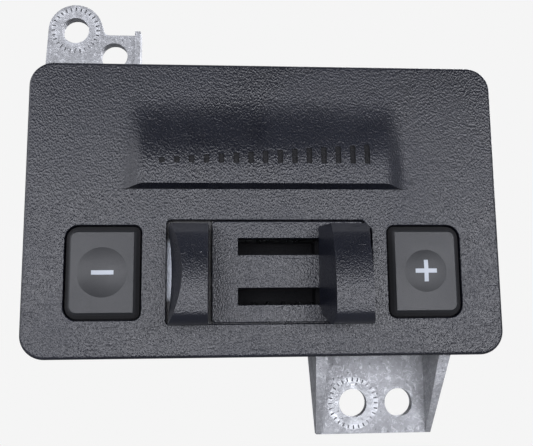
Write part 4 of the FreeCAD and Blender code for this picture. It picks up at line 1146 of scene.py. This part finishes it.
def finish_base(name, colour=None, roughness=0.5, **shader_values):
    """A new material, its tree and its shader, with the shader's constants set."""
    material = bpy.data.materials.new("finish_" + name)
    material.use_nodes = True
    tree = material.node_tree
    shader = tree.nodes["Principled BSDF"]
    if colour is not None:
        shader.inputs["Base Color"].default_value = (*colour[:3], 1.0)
    shader.inputs["Roughness"].default_value = roughness
    for key, value in shader_values.items():
        shader.inputs[key.replace("_", " ")].default_value = value
    return material, tree, shader


def feed(tree, shader, **outputs):
    """Leads outputs into a shader's inputs, whose names have _ for a space."""
    for key, output in outputs.items():
        tree.links.new(output, shader.inputs[key.replace("_", " ")])


def add_bump(tree, shader, height, distance):
    """Raises the surface by a height that changes over it."""
    bump = place(tree, "Bump", Distance=distance, Strength=1.0)
    tree.links.new(height, bump.inputs["Height"])
    tree.links.new(bump.outputs["Normal"], shader.inputs["Normal"])


def shades(colour, low, high):
    """Two shades of a colour."""
    return tuple(c * low for c in colour[:3]), tuple(min(c * high, 1.0) for c in colour[:3])


# ---------------------------------------------------------------- finishes
def moulded_plastic(
    name, colour, roughness, cells, bump, valley=0.1, specks=0.5, grain_by=None, dull_by=None, **more
):
    """Moulded plastic with grain, smudges and a little dust; its valleys are rougher by a given amount.

    The attribute named by grain_by says where it is grained, and the other attribute says where shade is
    painted in: there the colour is painted near black and made rougher. Other named values are the shader's
    own.
    """
    material, tree, shader = finish_base(name, roughness=roughness, **more)
    grain = use(tree, grain_group(), Cells=cells)
    marks = use(tree, handling_group(), Specks=specks)
    dark, light = shades(colour, 0.8, 1.25)
    body = tint(tree, marks["Smudge"], dark, light)
    body = tint(tree, maths(tree, "MULTIPLY", grain["Valley"], 0.45), body, shades(colour, 0.45, 1)[0])
    body = tint(tree, maths(tree, "MULTIPLY", marks["Dust"], 0.55), body, DUST)
    gloss = span(tree, marks["Smudge"], 0.0, 1.0, roughness - 0.04, roughness + 0.05)
    gloss = maths(tree, "ADD", gloss, maths(tree, "MULTIPLY", grain["Valley"], valley))
    # Painted shade: where the attribute is set, the colour is painted near black, standing in for shade on
    # the engraved bar floors and the caps' borders; those places are also made rougher.
    if dull_by:
        painted_shade = span(tree, place(tree, "Attribute", attribute_name=dull_by).outputs["Fac"], 0.1, 0.5)
        body = tint(tree, painted_shade, body, (0.002, 0.002, 0.003))
        gloss = maths(tree, "ADD", gloss, maths(tree, "MULTIPLY", painted_shade, 0.5))
    feed(tree, shader, Base_Color=body, Roughness=gloss)
    height = grain["Height"]
    if grain_by:
        mask = place(tree, "Attribute", attribute_name=grain_by).outputs["Fac"]
        height = maths(tree, "MULTIPLY", height, mask)
    height = maths(tree, "ADD", height, maths(tree, "MULTIPLY", marks["Scratch"], -0.25))
    add_bump(tree, shader, height, bump)
    return material


def chosen_plastic(name, *values, **named):
    """Moulded plastic in a colour that a user may change, which has the finish's own name."""
    choice = "face_black" if name == "grained_black" else name
    return moulded_plastic(name, getattr(bpy.context.scene.brake_finishes, choice), *values, **named)


def soft_rubber(name, colour, roughness):
    """Rubber with a fine, slightly bloomed skin."""
    material, tree, shader = finish_base(name, roughness=roughness)
    marks = use(tree, handling_group(), Specks=1.0)
    feed(tree, shader, Base_Color=tint(tree, marks["Smudge"], *shades(colour, 0.8, 1.5)))
    grain = use(tree, grain_group(), Cells=4200.0)
    add_bump(tree, shader, grain["Height"], 0.00002)
    return material


def seat_mask(tree, x, z, strength):
    """Rubbed metal round a bolt hole, brightest in the ring of teeth, and a darker colour in their notches.
    """
    size = bpy.context.scene.brake_sizes
    here = separate_place(tree)
    dx = maths(tree, "SUBTRACT", here["X"], x)
    dz = maths(tree, "SUBTRACT", here["Z"], z)
    square = maths(tree, "ADD", maths(tree, "MULTIPLY", dx, dx), maths(tree, "MULTIPLY", dz, dz))
    reach = maths(tree, "SQRT", square)
    ring = span(tree, reach, size.seat_radius, size.seat_radius + 0.2 * MM, strength, 0.0)
    inner = size.seat_radius - size.tooth_length
    ring = maths(tree, "MULTIPLY", ring, span(tree, reach, inner - 0.4 * MM, inner, 0.5, 1.0))
    flat = span(tree, here["Y"], SEAT_Y + 0.1 * MM, SEAT_Y + 0.3 * MM, 1.0, 0.0)
    toothed = maths(tree, "GREATER_THAN", ring, 0.5 * strength)
    notch = maths(tree, "MULTIPLY", toothed, maths(tree, "SUBTRACT", 1.0, flat))
    below = span(tree, here["Y"], SEAT_Y + 0.6 * MM, SEAT_Y + 0.8 * MM, 1.0, 0.0)
    return maths(tree, "MULTIPLY", ring, flat), maths(tree, "MULTIPLY", notch, below)


def die_cast_metal(name):
    """Bare die casting: mottled grey with rubbed bolt seats."""
    colour = bpy.context.scene.brake_finishes.casting
    material, tree, shader = finish_base(name, Metallic=0.4)
    skin = use(tree, cast_group())
    body = tint(tree, skin["Cloud"], *shades(colour, 0.75, 1.2))
    body = tint(tree, maths(tree, "MULTIPLY", skin["Swirl"], 0.35), body, shades(colour, 0.55, 1)[0])
    body = tint(tree, maths(tree, "MULTIPLY", skin["Fleck"], 0.5), body, shades(colour, 1, 2.0)[1])
    body = tint(tree, maths(tree, "MULTIPLY", skin["Pit"], 0.35), body, (0.09, 0.10, 0.11))
    upper, lower = seat_mask(tree, *BOLT_SEATS[0], 0.35), seat_mask(tree, *BOLT_SEATS[1], 0.65)
    rubbed, notches = (maths(tree, "MAXIMUM", a, b) for a, b in zip(upper, lower))
    worn = maths(tree, "MULTIPLY", rubbed, span(tree, skin["Swirl"], 0.0, 0.8, 1.0, 0.1))
    body = tint(tree, worn, body, (0.78, 0.80, 0.82))
    notch_darkening = span(tree, skin["Swirl"], 0.2, 0.8, 0.85, 0.15)
    # The notches of the pressed teeth are painted darker, by an amount that wanders with the swirl pattern.
    body = tint(tree, maths(tree, "MULTIPLY", notches, notch_darkening), body, (0.05, 0.05, 0.055))
    gloss = span(tree, skin["Fleck"], 0.0, 1.0, 0.55, 0.36)
    gloss = maths(tree, "SUBTRACT", gloss, maths(tree, "MULTIPLY", rubbed, 0.1))
    feed(tree, shader, Base_Color=body, Roughness=gloss)
    add_bump(tree, shader, skin["Height"], 0.0003)
    return material


def plated_metal(name, colour, roughness, scale, bump):
    """Plated or drawn metal with faint patches and a fine skin."""
    material, tree, shader = finish_base(name, roughness=roughness, Metallic=1.0)
    skin = use(tree, cast_group(), Scale=scale)
    body = tint(tree, skin["Cloud"], *shades(colour, 0.8, 1.15))
    gloss = span(tree, skin["Cloud"], 0.0, 1.0, roughness - 0.06, roughness + 0.08)
    feed(tree, shader, Base_Color=body, Roughness=gloss)
    add_bump(tree, shader, skin["Height"], bump)
    return material


def zinc_plate(name):
    """Plated strip that shows its metal only beside the hollow of the thumb rest; round that it is painted
    near black, a painted shade.
    """
    material = plated_metal(name, (0.62, 0.66, 0.72), 0.45, 1.5, 0.00004)
    tree = material.node_tree
    shader = tree.nodes["Principled BSDF"]
    here = separate_place(tree)
    middle, half = (REST_LOW.z + REST_HIGH.z) / 2 + 1.7 * MM, 7.0 * MM
    away = maths(tree, "ABSOLUTE", maths(tree, "SUBTRACT", here["Z"], middle))
    unshaded_metal = span(tree, away, half, half + 1.5 * MM, 1.0, 0.0)
    edge = REST_LOW.x + 3 * MM
    unshaded_metal = maths(tree, "MULTIPLY", unshaded_metal, span(tree, here["X"], edge, edge + 0.3 * MM, 1.0, 0.0))
    metal = shader.inputs["Base Color"].links[0].from_socket
    # Painted shade: outside the window beside the thumb rest the strip is painted near black; only the window
    # shows metal.
    body = tint(tree, unshaded_metal, (0.006, 0.006, 0.007), metal)
    feed(tree, shader, Base_Color=body, Metallic=maths(tree, "MULTIPLY", unshaded_metal, 0.15))
    return material


def smudged(name, dark, light, roughness):
    """A smooth skin whose colour wanders between two shades."""
    material, tree, shader = finish_base(name, roughness=roughness)
    marks = use(tree, handling_group(), Specks=0.2)
    feed(tree, shader, Base_Color=tint(tree, marks["Smudge"], dark, light))
    return material


def legend_white(name):
    """The pale plastic of the two signs."""
    colour = bpy.context.scene.brake_finishes.legend
    return smudged(name, *shades(colour, 0.93, 1.05), 0.45)


def board_green(name):
    """Solder mask with a pattern of copper tracks showing through."""
    colour = bpy.context.scene.brake_finishes.board
    material, tree, shader = finish_base(name, roughness=0.32)
    tracks = place(tree, "TexBrick", offset=0.35, squash=1.0)
    for key, value in (("Scale", 160.0), ("Mortar Size", 0.03), ("Brick Width", 1.1), ("Row Height", 0.35)):
        tracks.inputs[key].default_value = value
    tree.links.new(part_place(tree, turn=(math.pi / 2, 0, 0)), tracks.inputs["Vector"])
    dark, light = shades(colour, 0.75, 1.9)
    feed(tree, shader, Base_Color=tint(tree, tracks.outputs["Fac"], dark, light))
    add_bump(tree, shader, tracks.outputs["Fac"], 0.00003)
    return material


def clear_acrylic(name):
    """Light guides: clear, faintly clouded."""
    glass = {"IOR": 1.49, "Transmission_Weight": 0.9}
    material, tree, shader = finish_base(name, (0.9, 0.93, 0.95), **glass)
    marks = use(tree, handling_group(), Specks=0.2)
    feed(tree, shader, Roughness=span(tree, marks["Smudge"], 0.0, 1.0, 0.08, 0.2))
    return material


def recipe(make, *values, **named):
    """A finish whose maker is given its name and then these values."""
    return lambda name: make(name, *values, **named)


FINISHES = {
    "grained_black": recipe(chosen_plastic, 0.30, 2500.0, 0.00013, valley=0.14, dull_by="painted_shade"),
    "grip_black": recipe(chosen_plastic, 0.30, 3100.0, 0.0001, valley=0.14, grain_by="grained"),
    "button_black": recipe(chosen_plastic, 0.46, 5200.0, 0.000012, specks=0.8, dull_by="painted_shade"),
    "inner_black": recipe(
        moulded_plastic, (0.003, 0.003, 0.004), 0.7, 3000.0, 0.00003, Specular_IOR_Level=0.15
    ),
    "connector_black": recipe(moulded_plastic, (0.016, 0.016, 0.018), 0.45, 2600.0, 0.00002),
    "chip_black": recipe(moulded_plastic, (0.02, 0.02, 0.021), 0.6, 6000.0, 0.00001),
    "bumper_rubber": recipe(soft_rubber, (0.014, 0.014, 0.015), 0.75),
    "gasket_rubber": recipe(soft_rubber, (0.02, 0.02, 0.022), 0.7),
    "pad_grey": recipe(soft_rubber, (0.22, 0.24, 0.27), 0.8),
    "die_cast_metal": die_cast_metal,
    "zinc_plate": zinc_plate,
    "screw_steel": recipe(plated_metal, (0.48, 0.47, 0.44), 0.35, 3.0, 0.00001),
    "rod_steel": recipe(plated_metal, (0.30, 0.31, 0.32), 0.3, 3.0, 0.000005),
    "spring_steel": recipe(plated_metal, (0.25, 0.26, 0.28), 0.35, 3.0, 0.000004),
    "magnet_grey": recipe(plated_metal, (0.34, 0.34, 0.36), 0.3, 3.0, 0.000004),
    "pin_tin": recipe(plated_metal, (0.68, 0.67, 0.63), 0.28, 4.0, 0.000003),
    "shunt_copper": recipe(plated_metal, (0.62, 0.34, 0.18), 0.4, 4.0, 0.000005),
    "board_green": board_green,
    "legend_white": legend_white,
    "clear_acrylic": clear_acrylic,
    "capacitor_sleeve": recipe(smudged, *shades((0.02, 0.03, 0.09), 0.8, 1.3), 0.35),
    "led_white": recipe(smudged, (0.75, 0.74, 0.66), (0.86, 0.85, 0.76), 0.3),
}


def made_finish(name):
    """The finish of this name, which is made the first time that it is asked for."""
    return bpy.data.materials.get("finish_" + name) or FINISHES[name](name)


class BRAKE_OT_finishes(bpy.types.Operator):
    """Give every frame node that stays visible the finish of its material slot"""

    bl_idname = "brake.finishes"
    bl_label = "Finishes"

    def execute(self, context):
        for part in frame["record"]["subparts"]:
            mesh = NODES[part["node"]].data
            mesh.materials.clear()
            mesh.materials.append(made_finish(part["material_slot"]))
        return {"FINISHED"}


# ---------------------------------------------------------------- studio
def pale_world(floor):
    """A dim, even studio that looks pale to the camera; the soft boxes give the light."""
    world = bpy.data.worlds.new("studio")
    bpy.context.scene.world = world
    world.use_nodes = True
    tree = world.node_tree
    tree.nodes.clear()
    light = place(tree, "Background", Color=(0.03, 0.031, 0.035, 1.0), Strength=1.0)
    seen = place(tree, "Background", Color=(*floor, 1.0), Strength=1.0)
    path = place(tree, "LightPath")
    choose = place(tree, "MixShader")
    tree.links.new(path.outputs["Is Camera Ray"], choose.inputs[0])
    tree.links.new(light.outputs[0], choose.inputs[1])
    tree.links.new(seen.outputs[0], choose.inputs[2])
    tree.links.new(choose.outputs[0], place(tree, "OutputWorld").inputs["Surface"])


def soft_box(name, location, target, width, height, power):
    """A rectangular light that faces its target."""
    lamp = bpy.data.lights.new(name, "AREA")
    lamp.shape = "RECTANGLE"
    lamp.size, lamp.size_y = width, height
    lamp.energy = power
    lamp.color = (0.96, 0.97, 1.04)
    light = bpy.data.objects.new(name, lamp)
    light.location = location
    light.rotation_euler = (Vector(target) - Vector(location)).to_track_quat("-Z", "Y").to_euler()
    bpy.context.scene.collection.objects.link(light)


# Name, place, width, height and power of each light.
SOFT_BOXES = (
    ("low_band", (0.0, -0.891, -0.125), 1.8, 0.205, 13.5),
    ("left_column", (-0.407, -0.798, 0.086), 0.585, 0.205, 3.2),
    ("right_column", (0.427, -0.787, 0.086), 0.585, 0.205, 3.6),
    ("upper_left", (-0.389, -0.763, 0.278), 0.585, 0.19, 0.3),
    ("side_left", (-0.856, -0.151, 0.233), 0.655, 0.84, 5.0),
    ("side_right", (0.856, -0.151, 0.233), 0.655, 0.84, 1.0),
    ("overhead", (0.0, 0.05, 0.9), 0.6, 0.6, 1.2),
    ("rear", (0.45, 0.75, 0.45), 0.7, 0.7, 9.0),
)


def add_camera(studio, face_front):
    """Looks at the face from its own angle, with its roll about the line of sight."""
    target = Vector((studio.target_x, face_front, studio.target_z))
    a, e, roll = studio.azimuth, studio.elevation, studio.roll
    back = Vector((math.sin(a) * math.cos(e), -math.cos(a) * math.cos(e), math.sin(e)))
    right = (-back).cross(Vector((0, 0, 1))).normalized()
    up = back.cross(right)
    turned = right * math.cos(roll) + up * math.sin(roll)
    up = back.cross(turned)
    lens = bpy.data.cameras.new("camera")
    lens.lens = studio.lens
    lens.clip_start = 0.005
    camera = bpy.data.objects.new("camera", lens)
    camera.matrix_world = Matrix.Translation(target + back * studio.distance) @ Matrix(
        (turned, up, back)
    ).transposed().to_4x4()
    bpy.context.scene.collection.objects.link(camera)
    bpy.context.scene.camera = camera


def floor_finish(floor):
    """Pale paper: even to the camera, and softly lit for what stands over it."""
    material, tree, shader = finish_base("floor_paper", shades(floor, 0.3, 1)[0], 0.9)
    grain = place(tree, "TexNoise", Scale=900.0, Detail=3.0)
    tree.links.new(part_place(tree), grain.inputs["Vector"])
    add_bump(tree, shader, grain.outputs["Fac"], 0.00002)
    glow = place(tree, "Emission", Strength=1.0)
    glow.inputs["Color"].default_value = (*floor, 1.0)
    path = place(tree, "LightPath")
    choose = place(tree, "MixShader")
    tree.links.new(path.outputs["Is Camera Ray"], choose.inputs[0])
    tree.links.new(shader.outputs[0], choose.inputs[1])
    tree.links.new(glow.outputs[0], choose.inputs[2])
    tree.links.new(choose.outputs[0], tree.nodes["Material Output"].inputs["Surface"])
    return material


class BRAKE_OT_stage(bpy.types.Operator):
    """Set up the pale floor, the soft light and the camera"""

    bl_idname = "brake.stage"
    bl_label = "Studio"

    def execute(self, context):
        scene = context.scene
        studio, size = scene.brake_studio, scene.brake_sizes
        paper = tuple(scene.brake_finishes.floor)
        scene.view_settings.view_transform = "Standard"
        pale_world(paper)
        leave_edit()
        height = CAD_BOX[0][2] - studio.floor_drop
        bpy.ops.mesh.primitive_plane_add(size=6.0, location=(0, 0, height))
        floor = settle("floor")
        floor.data.materials.append(floor_finish(paper))
        for name, place_at, across, high, power in SOFT_BOXES:
            soft_box(name, place_at, (0, 0, 0), across, high, power)
        add_camera(studio, size.face_front)
        return {"FINISHED"}


# ---------------------------------------------------------------- add-on
STEPS = (
    BRAKE_OT_stage,
    BRAKE_OT_finishes,
    BRAKE_OT_front_bezel,
    BRAKE_OT_slider_panel,
    BRAKE_OT_slide_lever,
    BRAKE_OT_thumb_rest,
    BRAKE_OT_return_spring,
    BRAKE_OT_buttons,
    BRAKE_OT_soft_copies,
    BRAKE_OT_rear_housing,
)


class BRAKE_PT_panel(bpy.types.Panel):
    """Lists the steps that build the brake controller"""

    bl_idname = "BRAKE_PT_panel"
    bl_label = "Brake controller"
    bl_space_type = "VIEW_3D"
    bl_region_type = "UI"
    bl_category = "Brake controller"

    def draw(self, context):
        for step in STEPS:
            self.layout.operator(step.bl_idname)
        for group in (context.scene.brake_sizes, context.scene.brake_finishes, context.scene.brake_studio):
            for name in group.bl_rna.properties.keys():
                if name not in ("rna_type", "name"):
                    self.layout.prop(group, name)


GROUPS = (("brake_sizes", BrakeSizes), ("brake_finishes", BrakeFinishes), ("brake_studio", BrakeStudio))


def register():
    for name, group in GROUPS:
        bpy.utils.register_class(group)
        setattr(bpy.types.Scene, name, PointerProperty(type=group))
    for step in STEPS:
        bpy.utils.register_class(step)
    bpy.utils.register_class(BRAKE_PT_panel)


def unregister():
    bpy.utils.unregister_class(BRAKE_PT_panel)
    for step in reversed(STEPS):
        bpy.utils.unregister_class(step)
    for name, group in reversed(GROUPS):
        delattr(bpy.types.Scene, name)
        bpy.utils.unregister_class(group)


def main():
    register()
    for step in STEPS:
        group, name = step.bl_idname.split(".")
        getattr(getattr(bpy.ops, group), name)()
    leave_edit()


if __name__ == "__main__":
    main()
